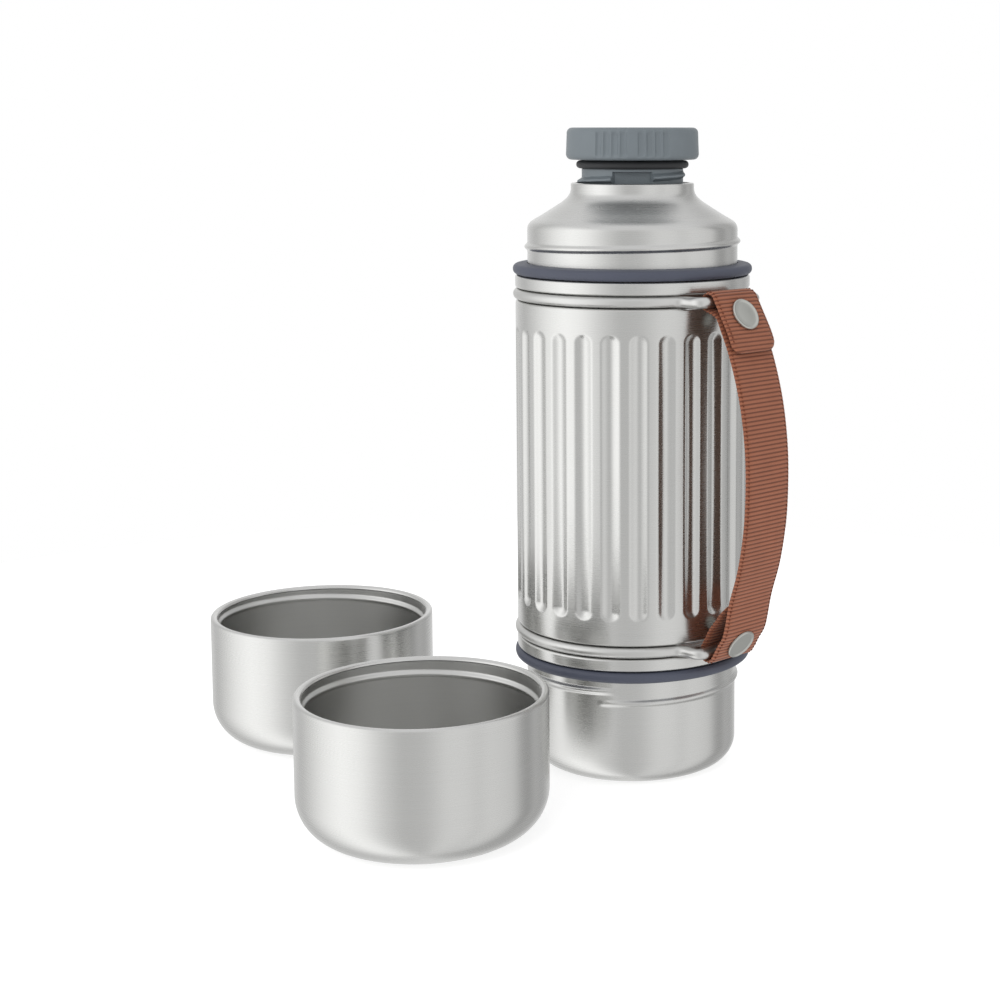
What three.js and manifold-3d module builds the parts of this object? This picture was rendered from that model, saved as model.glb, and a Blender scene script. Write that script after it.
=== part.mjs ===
// Double-walled steel vacuum canteen: a fluted bottle with a screw stopper, a webbing carry
// strap held by two wire rings, and two identical steel cups that stand beside it.
// Millimetres, +Z up. The origin is the centre of the bottle's base, on the table.

import * as THREE from 'three';
import { mergeVertices } from 'three/addons/utils/BufferGeometryUtils.js';
import Module from 'manifold-3d';

const wasm = await Module();
wasm.setup();

// ---- driving dimensions -------------------------------------------------------------------

const CLEARANCE = 0.3;          // gap between pieces that seat on each other
const WALL = 0.8;               // every steel shell
const ROUND_STEPS = 32;         // facets around a turned piece
const SMALL_STEPS = 16;         // facets around a snap's pieces
const WIRE_SIDES = 8;
const TURN = Math.PI * 2;

// bottle heights, from the table up
const BASE_HEIGHT = 43.1;       // table to the lower gasket
const GASKET_HEIGHT = 5.5;
const BAND_HEIGHT = 5.2;
const WIRE_DIAMETER = 4.4;
const BODY_HEIGHT = 133.6;
const SHOULDER_HEIGHT = 14.1;   // upper gasket to the start of the shoulder slope
const SLOPE_HEIGHT = 11.4;
const NECK_HEIGHT = 5.8;        // straight neck above the slope
const SKIRT_LENGTH = 8;         // how far shoulder and base reach inside the fluted body

// bottle radii
const SEAT_RADIUS = 42.85;      // the straight shoulder and the base, which the cups screw onto
const NECK_RADIUS = 25.05;
const BODY_PROUD = 4.95;        // the fluted body beyond the seat
const BAND_PROUD = 0.1;         // the bands beyond the fluted body
const GASKET_PROUD = 1;         // the gaskets beyond the fluted body
const BASE_CORNER = 10;
const SHOULDER_CORNER = 3.5;

// pressed flutes
const FLUTE_COUNT = 27;
const FLUTE_MARGIN = 10;        // end of the body to the end of a flute
const FLUTE_WIDTH = 7.4;
const FLUTE_DEPTH = 1.3;
const FLUTE_TURN = -1.518;      // angle of one flute's centre

// rolled threads of the shoulder and base
const BEAD_WIDTH = 3.8;
const BEAD_RISE = 1.2;
const BEAD_PITCH = 4.8;
const BEAD_TURNS = 0.95;
const TOP_BEAD_START = 4.8;     // above the upper gasket
const BOTTOM_BEAD_START = 8.5;  // below the lower gasket
const TOP_BEAD_TURN = -4;
const BOTTOM_BEAD_TURN = -1.89;
const CUP_THREAD_GAP = 0.35;    // between the cup's bead and the bottle

// inner flask
const VACUUM_GAP = 0.55;        // between the two walls along the shoulder and base
const FLASK_FLOOR = 8;          // table to the flask's outside bottom
const FLASK_CORNER = 12;
const SEAM_RISE = 7.3;          // top of the fluted body to the weld between flask and neck
const MOUTH_DEPTH = 14;         // length of the straight bore
const GETTER_RADIUS = 6;

// stopper
const STOPPER_LIFT = 9.3;       // how far the stopper stands unscrewed above its closed place
const KNOB_PROUD = 1.85;        // knob beyond the neck
const KNOB_HEIGHT = 12.9;
const KNOB_CORNER = 2.2;
const PLUG_GAP = 2.55;          // plug to bore, filled by the two threads
const PLUG_LENGTH = 22;
const PLUG_WALL = 2.6;
const SEAL_HEIGHT = 3.2;
const SPIGOT_HEIGHT = 6.5;      // part of the plug held inside the knob
const THREAD_PITCH = 6;
const THREAD_TURNS = 1.2;
const THREAD_WIDTH = 2.8;
const THREAD_GAP = 0.7;         // crest of either thread to the wall it faces
const CHANNEL_WIDTH = 15.2;     // pour channel down the plug's side
const CHANNEL_DEPTH = 3;

// cups
const CUP_HEIGHT = 54;
const CUP_CORNER = 17;
const CUP_LIP = 3.1;            // width of the rolled lip
const CUP_FLOOR = 2.6;          // table to the cup's inside floor
const CUP_BEAD_DROP = 6.4;      // lip to the middle of the inward bead
const CUP_PLACES = { front: [-78.4, -87.7], back: [-134.8, 30.2] };

// wire rings and strap
const STRAP_TURN = -Math.PI / 4;
const BAR_PROUD = 5.8;          // fluted body to the middle of the bar that the strap loops over
const BAR_SIDE_GAP = 3.5;       // edge of the strap to the wire beside it
const BAR_BEND = 3;
const STRAP_WIDTH = 25;
const STRAP_THICKNESS = 1.8;
const HAND_ROOM = 26;           // fluted body to the strap at mid height
const STRAP_HOOK = 1.4;         // how far the bow would come back in, short of the bars
const LAYER_GAP = 0.8;          // between the two layers under the upper snap
const FLAP_LEAN = Math.PI / 6;  // the layers under the snaps lean out by this much
const FLAP_CORNER = 4.5;
const STRAP_FOOT_OUT = 6.26;    // from the lower snap to the point of the strap that clears the flap
const STRAP_FOOT_RISE = 18.77;
const SEAM_GAP = 0.5;           // between the strap's end and the root of its flap

// snap fasteners
const SNAP_CAP_RADIUS = 6.5;
const SNAP_CAP_HEIGHT = 1.1;
const SNAP_BARREL_RADIUS = 3;
const SNAP_BORE_RADIUS = 2.1;
const SNAP_GRIP = 1;            // how far the stud goes into the barrel
const SNAP_POST_RADIUS = 3.2;
const SNAP_POST_HEIGHT = 0.8;
const SNAP_POST_GAP = 1;
const UPPER_SNAP_REACH = 8.3;   // from where the flap leaves the upper loop to its snap
const LOWER_SNAP_REACH = 5.9;   // from where the strap leaves the lower loop to its snap

// ---- sizes worked out from the above --------------------------------------------------------

const WIRE_GROOVE = WIRE_DIAMETER + 2 * CLEARANCE;
const LOWER_BAND = BASE_HEIGHT + GASKET_HEIGHT + CLEARANCE;
const LOWER_WIRE = LOWER_BAND + BAND_HEIGHT + WIRE_GROOVE / 2;
const BODY_BOTTOM = LOWER_WIRE + WIRE_GROOVE / 2;
const BODY_TOP = BODY_BOTTOM + BODY_HEIGHT;
const UPPER_WIRE = BODY_TOP + WIRE_GROOVE / 2;
const UPPER_BAND = UPPER_WIRE + WIRE_GROOVE / 2;
const UPPER_GASKET = UPPER_BAND + BAND_HEIGHT + CLEARANCE;
const GASKET_TOP = UPPER_GASKET + GASKET_HEIGHT;
const SLOPE_BOTTOM = GASKET_TOP + SHOULDER_HEIGHT;
const SLOPE_TOP = SLOPE_BOTTOM + SLOPE_HEIGHT;
const RIM = SLOPE_TOP + NECK_HEIGHT;
const FLASK_SEAM = BODY_TOP + SEAM_RISE;

const BODY_RADIUS = SEAT_RADIUS + BODY_PROUD;
const BAND_RADIUS = BODY_RADIUS + BAND_PROUD;
const GASKET_RADIUS = BODY_RADIUS + GASKET_PROUD;
const COLLAR = SEAT_RADIUS + CLEARANCE;
const SEAT_WALL = SEAT_RADIUS - WALL;
const FLASK_RADIUS = SEAT_WALL - VACUUM_GAP;
const CUP_RADIUS = SEAT_RADIUS + BEAD_RISE + CUP_THREAD_GAP + CUP_LIP;

const MOUTH_RADIUS = NECK_RADIUS - 2 * WALL - CLEARANCE;
const KNOB_RADIUS = NECK_RADIUS + KNOB_PROUD;
const KNOB_BOTTOM = RIM + STOPPER_LIFT;
const SEAL_RADIUS = MOUTH_RADIUS - CLEARANCE;
const SEAL_SEAT = SEAL_RADIUS - SEAL_HEIGHT;
const SEAL_BOTTOM = KNOB_BOTTOM - CLEARANCE - SEAL_HEIGHT;
const PLUG_RADIUS = MOUTH_RADIUS - PLUG_GAP;
const PLUG_CAVITY = PLUG_RADIUS - CHANNEL_DEPTH - PLUG_WALL / 2;
const THREAD_RISE = PLUG_GAP - THREAD_GAP;

// The two threads run half a pitch apart, so they pass each other as the stopper turns.
const PLUG_THREAD_BOTTOM = SEAL_BOTTOM - 2.6 - THREAD_PITCH * THREAD_TURNS;
const PLUG_THREAD_TURN = -1.257;
const NECK_THREAD_BOTTOM = RIM - MOUTH_DEPTH + 2.2;
const NECK_THREAD_TURN = PLUG_THREAD_TURN
  + TURN * (0.5 - (PLUG_THREAD_BOTTOM - NECK_THREAD_BOTTOM) / THREAD_PITCH);

const WIRE_RADIUS = WIRE_DIAMETER / 2;
const WIRE_RING = GASKET_RADIUS - WIRE_RADIUS;
const BAR_RADIUS = BODY_RADIUS + BAR_PROUD;
const BAR_HALF_LENGTH = STRAP_WIDTH / 2 + BAR_SIDE_GAP;
const LOOP_RADIUS = WIRE_RADIUS + CLEARANCE + STRAP_THICKNESS / 2;
const STRAP_BOW = BODY_RADIUS + HAND_ROOM;
const STRAP_SWEEP = STRAP_BOW - BAR_RADIUS - STRAP_HOOK;
const UPPER_LAYERS = STRAP_THICKNESS + LAYER_GAP;
const LOWER_LAYERS = 2 * LOOP_RADIUS;
const SNAP_FLAT = SNAP_POST_RADIUS + CLEARANCE;

// ---- materials ------------------------------------------------------------------------------

const steel = () => new THREE.MeshStandardMaterial({ color: 0xc9cac8, metalness: 1, roughness: 0.32 });
const innerSteel = () => new THREE.MeshStandardMaterial({ color: 0xb4b5b3, metalness: 1, roughness: 0.4 });
const silicone = () => new THREE.MeshStandardMaterial({ color: 0x4f5363, metalness: 0, roughness: 0.6 });
const greyPlastic = () => new THREE.MeshStandardMaterial({ color: 0x777c80, metalness: 0, roughness: 0.5 });
const blackRubber = () => new THREE.MeshStandardMaterial({ color: 0x2b2d30, metalness: 0, roughness: 0.7 });
const foam = () => new THREE.MeshStandardMaterial({ color: 0xe8e4d8, metalness: 0, roughness: 0.9 });
const webbing = () => new THREE.MeshStandardMaterial({ color: 0x955f49, metalness: 0, roughness: 0.85 });
const nickel = () => new THREE.MeshStandardMaterial({ color: 0xb3b4b0, metalness: 1, roughness: 0.3 });

// ---- shape helpers ----------------------------------------------------------------------------

// Points along an arc in a profile, from one angle to another, in degrees.
function arc(centreR, centreZ, radius, from, to, steps) {
  const points = [];
  for (let i = 0; i <= steps; i += 1) {
    const angle = THREE.MathUtils.degToRad(from + (to - from) * i / steps);
    points.push([centreR + radius * Math.cos(angle), centreZ + radius * Math.sin(angle)]);
  }
  return points;
}

// A solid turned about Z from a closed profile of [radius, height] points.
function turned(profile, facets = ROUND_STEPS) {
  const outline = profile.map(([r, z]) => new THREE.Vector2(r, z));
  if (THREE.ShapeUtils.area(outline) < 0) {
    outline.reverse();
  }
  const onAxis = outline.findIndex((p, i) => p.x === 0 && outline[(i + outline.length - 1) % outline.length].x === 0);
  const ordered = onAxis < 0 ? outline : outline.slice(onAxis).concat(outline.slice(0, onAxis));
  if (onAxis < 0) {
    ordered.push(ordered[0].clone());
  }
  return new THREE.LatheGeometry(ordered, facets).rotateX(Math.PI / 2);
}

function ring(inner, outer, bottom, top, facets = ROUND_STEPS) {
  return turned([[inner, bottom], [outer, bottom], [outer, top], [inner, top]], facets);
}

function disc(radius, bottom, top, facets = ROUND_STEPS) {
  return turned([[0, bottom], [radius, bottom], [radius, top], [0, top]], facets);
}

function toSolid(geometry) {
  const bare = geometry.clone();
  bare.deleteAttribute('normal');
  bare.deleteAttribute('uv');
  const merged = mergeVertices(bare, 1e-4);
  return new wasm.Manifold(new wasm.Mesh({
    numProp: 3,
    vertProperties: new Float32Array(merged.attributes.position.array),
    triVerts: new Uint32Array(merged.index.array),
  }));
}

function toGeometry(solid) {
  const mesh = solid.getMesh();
  const geometry = new THREE.BufferGeometry();
  geometry.setAttribute('position', new THREE.BufferAttribute(mesh.vertProperties, 3));
  geometry.setIndex(new THREE.BufferAttribute(mesh.triVerts, 1));
  return geometry;
}

const joined = (a, b) => toGeometry(toSolid(a).add(toSolid(b)));
const cut = (a, b) => toGeometry(toSolid(a).subtract(toSolid(b)));

// A ridge that climbs round Z as a helix. outward is 1 on a shaft and -1 in a bore.
function helicalRidge({ radius, rise, width, pitch, turns, bottom, start, outward = 1 }) {
  const root = -0.35 * outward;
  const section = new THREE.Shape([
    new THREE.Vector2(-width / 2, root),
    new THREE.Vector2(width / 2, root),
    new THREE.Vector2(width / 6, rise * outward),
    new THREE.Vector2(-width / 6, rise * outward),
  ]);
  const length = turns * TURN;
  const steps = Math.round(turns * ROUND_STEPS);
  const geometry = new THREE.ExtrudeGeometry(section, { depth: length, steps, bevelEnabled: false });
  const place = geometry.attributes.position;
  for (let i = 0; i < place.count; i += 1) {
    const along = place.getZ(i);
    const taper = Math.min(1, along * 3, (length - along) * 3);
    const offset = place.getY(i) * outward > 0 ? place.getY(i) * Math.max(taper, 0.05) : place.getY(i);
    const angle = start + along;
    const r = radius + offset;
    const z = bottom + pitch * along / TURN + place.getX(i);
    place.setXYZ(i, r * Math.cos(angle), r * Math.sin(angle), z);
  }
  return geometry;
}

// A flat strip of the strap's width, from its centreline in the plane of radius and height.
function strip(centreline, thickness = STRAP_THICKNESS) {
  const left = [];
  const right = [];
  centreline.forEach((p, i) => {
    const before = centreline[Math.max(i - 1, 0)];
    const after = centreline[Math.min(i + 1, centreline.length - 1)];
    const along = after.clone().sub(before).normalize();
    const normal = new THREE.Vector2(-along.y, along.x).multiplyScalar(thickness / 2);
    left.push(p.clone().add(normal));
    right.push(p.clone().sub(normal));
  });
  const outline = new THREE.Shape(left.concat(right.reverse()));
  const geometry = new THREE.ExtrudeGeometry(outline, { depth: STRAP_WIDTH, bevelEnabled: false });
  return geometry.translate(0, 0, -STRAP_WIDTH / 2).rotateX(Math.PI / 2);
}

const vectors = (points) => points.map(([r, z]) => new THREE.Vector2(r, z));
const smooth = (points, steps) => new THREE.SplineCurve(vectors(points)).getPoints(steps);

// Turns a piece made along +Z so that it stands on the point [r, z], pointing at the lean angle
// above or below the outward direction.
function standOn(geometry, [r, z], lean) {
  return geometry.rotateY(Math.PI / 2 - lean).translate(r, 0, z);
}

// ---- bottle shells ------------------------------------------------------------------------------

// How deep the pressed flutes are at an angle and height.
function fluteDepth(angle, z) {
  const step = TURN / FLUTE_COUNT;
  const turn = (angle - FLUTE_TURN) / step;
  const across = (turn - Math.round(turn)) * step * BODY_RADIUS;
  const straight = (BODY_HEIGHT - FLUTE_WIDTH) / 2 - FLUTE_MARGIN;
  const middle = (BODY_BOTTOM + BODY_TOP) / 2;
  const beyond = Math.max(Math.abs(z - middle) - straight, 0);
  const reach = Math.hypot(across, beyond) / (FLUTE_WIDTH / 2);
  return FLUTE_DEPTH * Math.max(0, 1 - reach * reach);
}

function bodyShell() {
  const middle = (BODY_BOTTOM + BODY_TOP) / 2;
  const half = BODY_HEIGHT / 2;
  const end = half - FLUTE_MARGIN;
  const round = 1.2;
  const inside = BODY_RADIUS - WALL;
  const rows = [-end, -end + FLUTE_WIDTH / 2];
  const levels = rows.concat(rows.map((z) => -z).reverse());
  const outer = levels.map((z) => [BODY_RADIUS, middle + z]);
  const inner = levels.map((z) => [inside, middle + z]).reverse();
  const profile = [
    [COLLAR, middle - half],
    [BODY_RADIUS - round, middle - half],
    [BODY_RADIUS, middle - half + round],
    ...outer,
    [BODY_RADIUS, middle + half - round],
    [BODY_RADIUS - round, middle + half],
    [COLLAR, middle + half],
    [COLLAR, middle + half - WALL],
    [inside, middle + half - WALL],
    ...inner,
    [inside, middle - half + WALL],
    [COLLAR, middle - half + WALL],
  ];
  const geometry = turned(profile, FLUTE_COUNT * 3).rotateZ(FLUTE_TURN);
  const place = geometry.attributes.position;
  for (let i = 0; i < place.count; i += 1) {
    const r = Math.hypot(place.getX(i), place.getY(i));
    const angle = Math.atan2(place.getY(i), place.getX(i));
    const pressed = r - fluteDepth(angle, place.getZ(i));
    if (r > inside - 0.01) {
      place.setXYZ(i, pressed * Math.cos(angle), pressed * Math.sin(angle), place.getZ(i));
    }
  }
  return geometry;
}

// Shoulder, slope and neck in one pressing, with the rolled thread for a cup.
function shoulderShell() {
  const cornerOut = arc(SEAT_RADIUS - SHOULDER_CORNER, SLOPE_BOTTOM - 1, SHOULDER_CORNER, 0, 57, 3);
  const cornerIn = arc(SEAT_RADIUS - SHOULDER_CORNER, SLOPE_BOTTOM - 1, SHOULDER_CORNER - WALL, 57, 0, 3);
  const profile = [
    [SEAT_WALL, BODY_TOP - SKIRT_LENGTH],
    [SEAT_RADIUS, BODY_TOP - SKIRT_LENGTH],
    ...cornerOut,
    [NECK_RADIUS + 2.4, SLOPE_TOP - 0.6],
    [NECK_RADIUS + 0.6, SLOPE_TOP + 1.2],
    [NECK_RADIUS, SLOPE_TOP + 3],
    [NECK_RADIUS, RIM - 0.8],
    [NECK_RADIUS - 0.8, RIM],
    [MOUTH_RADIUS, RIM],
    [MOUTH_RADIUS, RIM - WALL],
    [NECK_RADIUS - WALL, RIM - WALL],
    [NECK_RADIUS - WALL, SLOPE_TOP + 2.6],
    [NECK_RADIUS + 1.9, SLOPE_TOP - 1.4],
    ...cornerIn,
  ];
  const bead = helicalRidge({
    radius: SEAT_RADIUS, rise: BEAD_RISE, width: BEAD_WIDTH, pitch: BEAD_PITCH,
    turns: BEAD_TURNS, bottom: GASKET_TOP + TOP_BEAD_START, start: TOP_BEAD_TURN,
  });
  return joined(turned(profile), bead);
}

function baseShell() {
  const profile = [
    [0, 0],
    ...arc(SEAT_RADIUS - BASE_CORNER, BASE_CORNER, BASE_CORNER, -90, 0, 4),
    [SEAT_RADIUS, BODY_BOTTOM + SKIRT_LENGTH],
    [SEAT_WALL, BODY_BOTTOM + SKIRT_LENGTH],
    ...arc(SEAT_RADIUS - BASE_CORNER, BASE_CORNER, BASE_CORNER - WALL, 0, -90, 4),
    [0, WALL],
  ];
  const bead = helicalRidge({
    radius: SEAT_RADIUS, rise: BEAD_RISE, width: BEAD_WIDTH, pitch: BEAD_PITCH,
    turns: BEAD_TURNS, bottom: BASE_HEIGHT - BOTTOM_BEAD_START, start: BOTTOM_BEAD_TURN,
  });
  return joined(turned(profile), bead);
}

// Rolled steel band between a gasket and a wire ring, open towards the bottle's axis.
function band(bottom) {
  const top = bottom + BAND_HEIGHT;
  const round = 0.9;
  const inside = BAND_RADIUS - WALL - 0.4;
  return turned([
    [COLLAR, bottom],
    [BAND_RADIUS - round, bottom],
    [BAND_RADIUS, bottom + round],
    [BAND_RADIUS, top - round],
    [BAND_RADIUS - round, top],
    [COLLAR, top],
    [COLLAR, top - WALL],
    [inside, top - WALL],
    [inside, bottom + WALL],
    [COLLAR, bottom + WALL],
  ]);
}

function gasket(bottom) {
  const top = bottom + GASKET_HEIGHT;
  const round = GASKET_HEIGHT / 2;
  const nose = arc(GASKET_RADIUS - round, bottom + round, round, -90, 90, 4);
  return turned([[COLLAR, bottom], ...nose, [COLLAR, top]]);
}

// ---- inner flask ----------------------------------------------------------------------------------

function flaskBody() {
  const centreR = FLASK_RADIUS - FLASK_CORNER;
  const centreZ = FLASK_FLOOR + FLASK_CORNER;
  return turned([
    [0, FLASK_FLOOR],
    ...arc(centreR, centreZ, FLASK_CORNER, -90, 0, 3),
    [FLASK_RADIUS, FLASK_SEAM - CLEARANCE],
    [FLASK_RADIUS - WALL, FLASK_SEAM - CLEARANCE],
    ...arc(centreR, centreZ, FLASK_CORNER - WALL, 0, -90, 3),
    [0, FLASK_FLOOR + WALL],
  ]);
}

// Shoulder and threaded bore of the flask, above its weld seam.
function flaskNeck() {
  const outer = MOUTH_RADIUS + WALL;
  const top = RIM - WALL - CLEARANCE;
  const knee = RIM - MOUTH_DEPTH;
  const shoulder = SLOPE_BOTTOM - 4.5;
  const shell = turned([
    [FLASK_RADIUS - WALL, FLASK_SEAM],
    [FLASK_RADIUS, FLASK_SEAM],
    [FLASK_RADIUS, shoulder],
    [FLASK_RADIUS - 2.5, shoulder + 3],
    [outer + 1, knee],
    [outer, knee + 1.4],
    [outer, top],
    [MOUTH_RADIUS, top],
    [MOUTH_RADIUS, knee + 0.6],
    [MOUTH_RADIUS + 1, knee - 0.9],
    [FLASK_RADIUS - 3.2, shoulder + 2.2],
    [FLASK_RADIUS - WALL, shoulder - 0.6],
  ]);
  const thread = helicalRidge({
    radius: MOUTH_RADIUS, rise: THREAD_RISE, width: THREAD_WIDTH, pitch: THREAD_PITCH,
    turns: 1, bottom: NECK_THREAD_BOTTOM, start: NECK_THREAD_TURN, outward: -1,
  });
  return joined(shell, thread);
}

function getter() {
  return disc(GETTER_RADIUS, FLASK_FLOOR - CLEARANCE - 2, FLASK_FLOOR - CLEARANCE, 20);
}

// ---- stopper -----------------------------------------------------------------------------------------

function knob() {
  const top = KNOB_BOTTOM + KNOB_HEIGHT;
  const bore = SEAL_SEAT + CLEARANCE;
  return turned([
    [0, top],
    ...arc(KNOB_RADIUS - KNOB_CORNER, top - KNOB_CORNER, KNOB_CORNER, 90, 0, 3),
    ...arc(KNOB_RADIUS - KNOB_CORNER, KNOB_BOTTOM + KNOB_CORNER, KNOB_CORNER, 0, -90, 3),
    [bore, KNOB_BOTTOM],
    [bore, KNOB_BOTTOM + SPIGOT_HEIGHT + CLEARANCE],
    [0, KNOB_BOTTOM + SPIGOT_HEIGHT + CLEARANCE],
  ]);
}

// Threaded plug below the knob, hollow for its insulation, with the pour channel down one side.
function plug() {
  const bottom = SEAL_BOTTOM - CLEARANCE - PLUG_LENGTH;
  const top = KNOB_BOTTOM + SPIGOT_HEIGHT;
  const shell = turned([
    [0, bottom],
    [PLUG_RADIUS - 1, bottom],
    [PLUG_RADIUS, bottom + 1],
    [PLUG_RADIUS, SEAL_BOTTOM - CLEARANCE],
    [SEAL_SEAT - CLEARANCE, SEAL_BOTTOM - CLEARANCE],
    [SEAL_SEAT - CLEARANCE, top],
    [PLUG_CAVITY, top],
    [PLUG_CAVITY, bottom + PLUG_WALL],
    [0, bottom + PLUG_WALL],
  ]);
  const thread = helicalRidge({
    radius: PLUG_RADIUS, rise: THREAD_RISE, width: THREAD_WIDTH, pitch: THREAD_PITCH,
    turns: THREAD_TURNS, bottom: PLUG_THREAD_BOTTOM, start: PLUG_THREAD_TURN,
  });
  const height = PLUG_LENGTH - 1.2;
  const block = new THREE.BoxGeometry(CHANNEL_WIDTH, CHANNEL_DEPTH * 4, height);
  block.translate(0, -PLUG_RADIUS - CHANNEL_DEPTH, bottom + height / 2 - 0.01);
  return cut(joined(shell, thread), block);
}

function stopperCore() {
  const bottom = SEAL_BOTTOM - PLUG_LENGTH + PLUG_WALL;
  return disc(PLUG_CAVITY - CLEARANCE, bottom, KNOB_BOTTOM + SPIGOT_HEIGHT - CLEARANCE, 24);
}

function stopperSeal() {
  const round = SEAL_HEIGHT / 2;
  return turned(arc(SEAL_RADIUS - round, SEAL_BOTTOM + round, round, 0, 300, 5));
}

// ---- cups ------------------------------------------------------------------------------------------------

function cupShell() {
  const inside = CUP_RADIUS - WALL;
  const lipEdge = CUP_RADIUS - CUP_LIP + WALL + CLEARANCE;
  return turned([
    [0, 0],
    ...arc(CUP_RADIUS - CUP_CORNER, CUP_CORNER, CUP_CORNER, -90, 0, 4),
    [CUP_RADIUS, CUP_HEIGHT - 1.2],
    [CUP_RADIUS - 1.2, CUP_HEIGHT],
    [lipEdge, CUP_HEIGHT],
    [lipEdge, CUP_HEIGHT - WALL],
    [inside, CUP_HEIGHT - WALL - 0.6],
    ...arc(CUP_RADIUS - CUP_CORNER, CUP_CORNER, CUP_CORNER - WALL, 0, -90, 4),
    [0, WALL],
  ]);
}

// Inside wall of a cup, with the inward bead that grips the bottle's rolled thread.
function cupLiner() {
  const inside = CUP_RADIUS - CUP_LIP;
  const outside = inside + WALL;
  const corner = CUP_CORNER - CUP_FLOOR;
  const beadZ = CUP_HEIGHT - CUP_BEAD_DROP;
  const half = BEAD_WIDTH / 2;
  return turned([
    [0, CUP_FLOOR],
    ...arc(inside - corner, CUP_FLOOR + corner, corner, -90, 0, 3),
    [inside, beadZ - half],
    [inside - BEAD_RISE, beadZ],
    [inside, beadZ + half],
    [inside, CUP_HEIGHT - 0.4],
    [outside, CUP_HEIGHT - 0.4],
    [outside, beadZ + half],
    [outside - BEAD_RISE, beadZ],
    [outside, beadZ - half],
    ...arc(inside - corner, CUP_FLOOR + corner, corner + WALL, 0, -90, 3),
    [0, CUP_FLOOR - WALL],
  ]);
}

// ---- wire rings and strap ------------------------------------------------------------------------------------

// Centreline of a wire ring: most of a circle, and a bar that stands out beyond it. The ends
// meet in a butt joint at the back.
function wirePath(z) {
  const corner = new THREE.CurvePath();
  const leave = Math.asin((BAR_HALF_LENGTH + 0.6) / WIRE_RING);
  const foot = new THREE.Vector3(WIRE_RING * Math.cos(leave), BAR_HALF_LENGTH + 0.6, z);
  const knee = new THREE.Vector3(BAR_RADIUS, BAR_HALF_LENGTH, z);
  const gap = CLEARANCE / 2 / WIRE_RING;
  const arcPart = (from, to) => {
    const points = [];
    for (let i = 0; i <= 24; i += 1) {
      const a = from + (to - from) * i / 24;
      points.push(new THREE.Vector3(WIRE_RING * Math.cos(a), WIRE_RING * Math.sin(a), z));
    }
    return new THREE.CatmullRomCurve3(points);
  };
  const bend = (a, b, c) => {
    const into = b.clone().lerp(a, Math.min(BAR_BEND / b.distanceTo(a), 0.5));
    const out = b.clone().lerp(c, Math.min(BAR_BEND / b.distanceTo(c), 0.5));
    return new THREE.QuadraticBezierCurve3(into, b, out);
  };
  const mirrored = (p) => new THREE.Vector3(p.x, -p.y, p.z);
  const arcEnd = leave + BAR_BEND / WIRE_RING;
  const onArc = new THREE.Vector3(WIRE_RING * Math.cos(arcEnd), WIRE_RING * Math.sin(arcEnd), z);
  const start = bend(onArc, foot, knee);
  const outer = bend(foot, knee, mirrored(knee));
  const outerBack = bend(knee, mirrored(knee), mirrored(foot));
  const end = bend(mirrored(knee), mirrored(foot), mirrored(onArc));
  corner.add(arcPart(Math.PI - gap, arcEnd));
  for (const next of [start, outer, outerBack, end]) {
    const last = corner.curves[corner.curves.length - 1].getPoint(1);
    corner.add(new THREE.LineCurve3(last, next.getPoint(0)));
    corner.add(next);
  }
  corner.add(new THREE.LineCurve3(end.getPoint(1), mirrored(onArc)));
  corner.add(arcPart(-arcEnd, -Math.PI + gap));
  return corner;
}

function wireRing(z) {
  const path = wirePath(z);
  path.curves = path.curves.filter((part) => part.getLength() > 1e-6);
  const corners = [];
  for (let i = 0; i < WIRE_SIDES; i += 1) {
    const angle = i * TURN / WIRE_SIDES;
    corners.push(new THREE.Vector2(WIRE_RADIUS * Math.cos(angle), WIRE_RADIUS * Math.sin(angle)));
  }
  const settings = { steps: 80, extrudePath: path, bevelEnabled: false };
  return new THREE.ExtrudeGeometry(new THREE.Shape(corners), settings);
}

// Directions in the plane of radius and height: along the leaning layers of the strap, and
// square to them. side is 1 at the upper bar and -1 at the lower bar.
const along = (side) => [Math.sin(FLAP_LEAN), -side * Math.cos(FLAP_LEAN)];
const across = (side) => [Math.cos(FLAP_LEAN), side * Math.sin(FLAP_LEAN)];
const moved = ([r, z], [dr, dz], distance) => [r + dr * distance, z + dz * distance];

// Where the strap leaves each loop, and where each snap goes through its two layers.
const upperLeave = moved([BAR_RADIUS, UPPER_WIRE], across(1), LOOP_RADIUS);
const lowerLeave = moved([BAR_RADIUS, LOWER_WIRE], across(-1), LOOP_RADIUS);
const lowerReturn = moved([BAR_RADIUS, LOWER_WIRE], across(-1), -LOOP_RADIUS);
const upperSnap = moved(upperLeave, along(1), UPPER_SNAP_REACH);
const underUpperSnap = moved(upperSnap, across(1), -UPPER_LAYERS);
const lowerSnap = moved(lowerLeave, along(-1), LOWER_SNAP_REACH);
const behindLowerSnap = moved(lowerReturn, along(-1), LOWER_SNAP_REACH);

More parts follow.
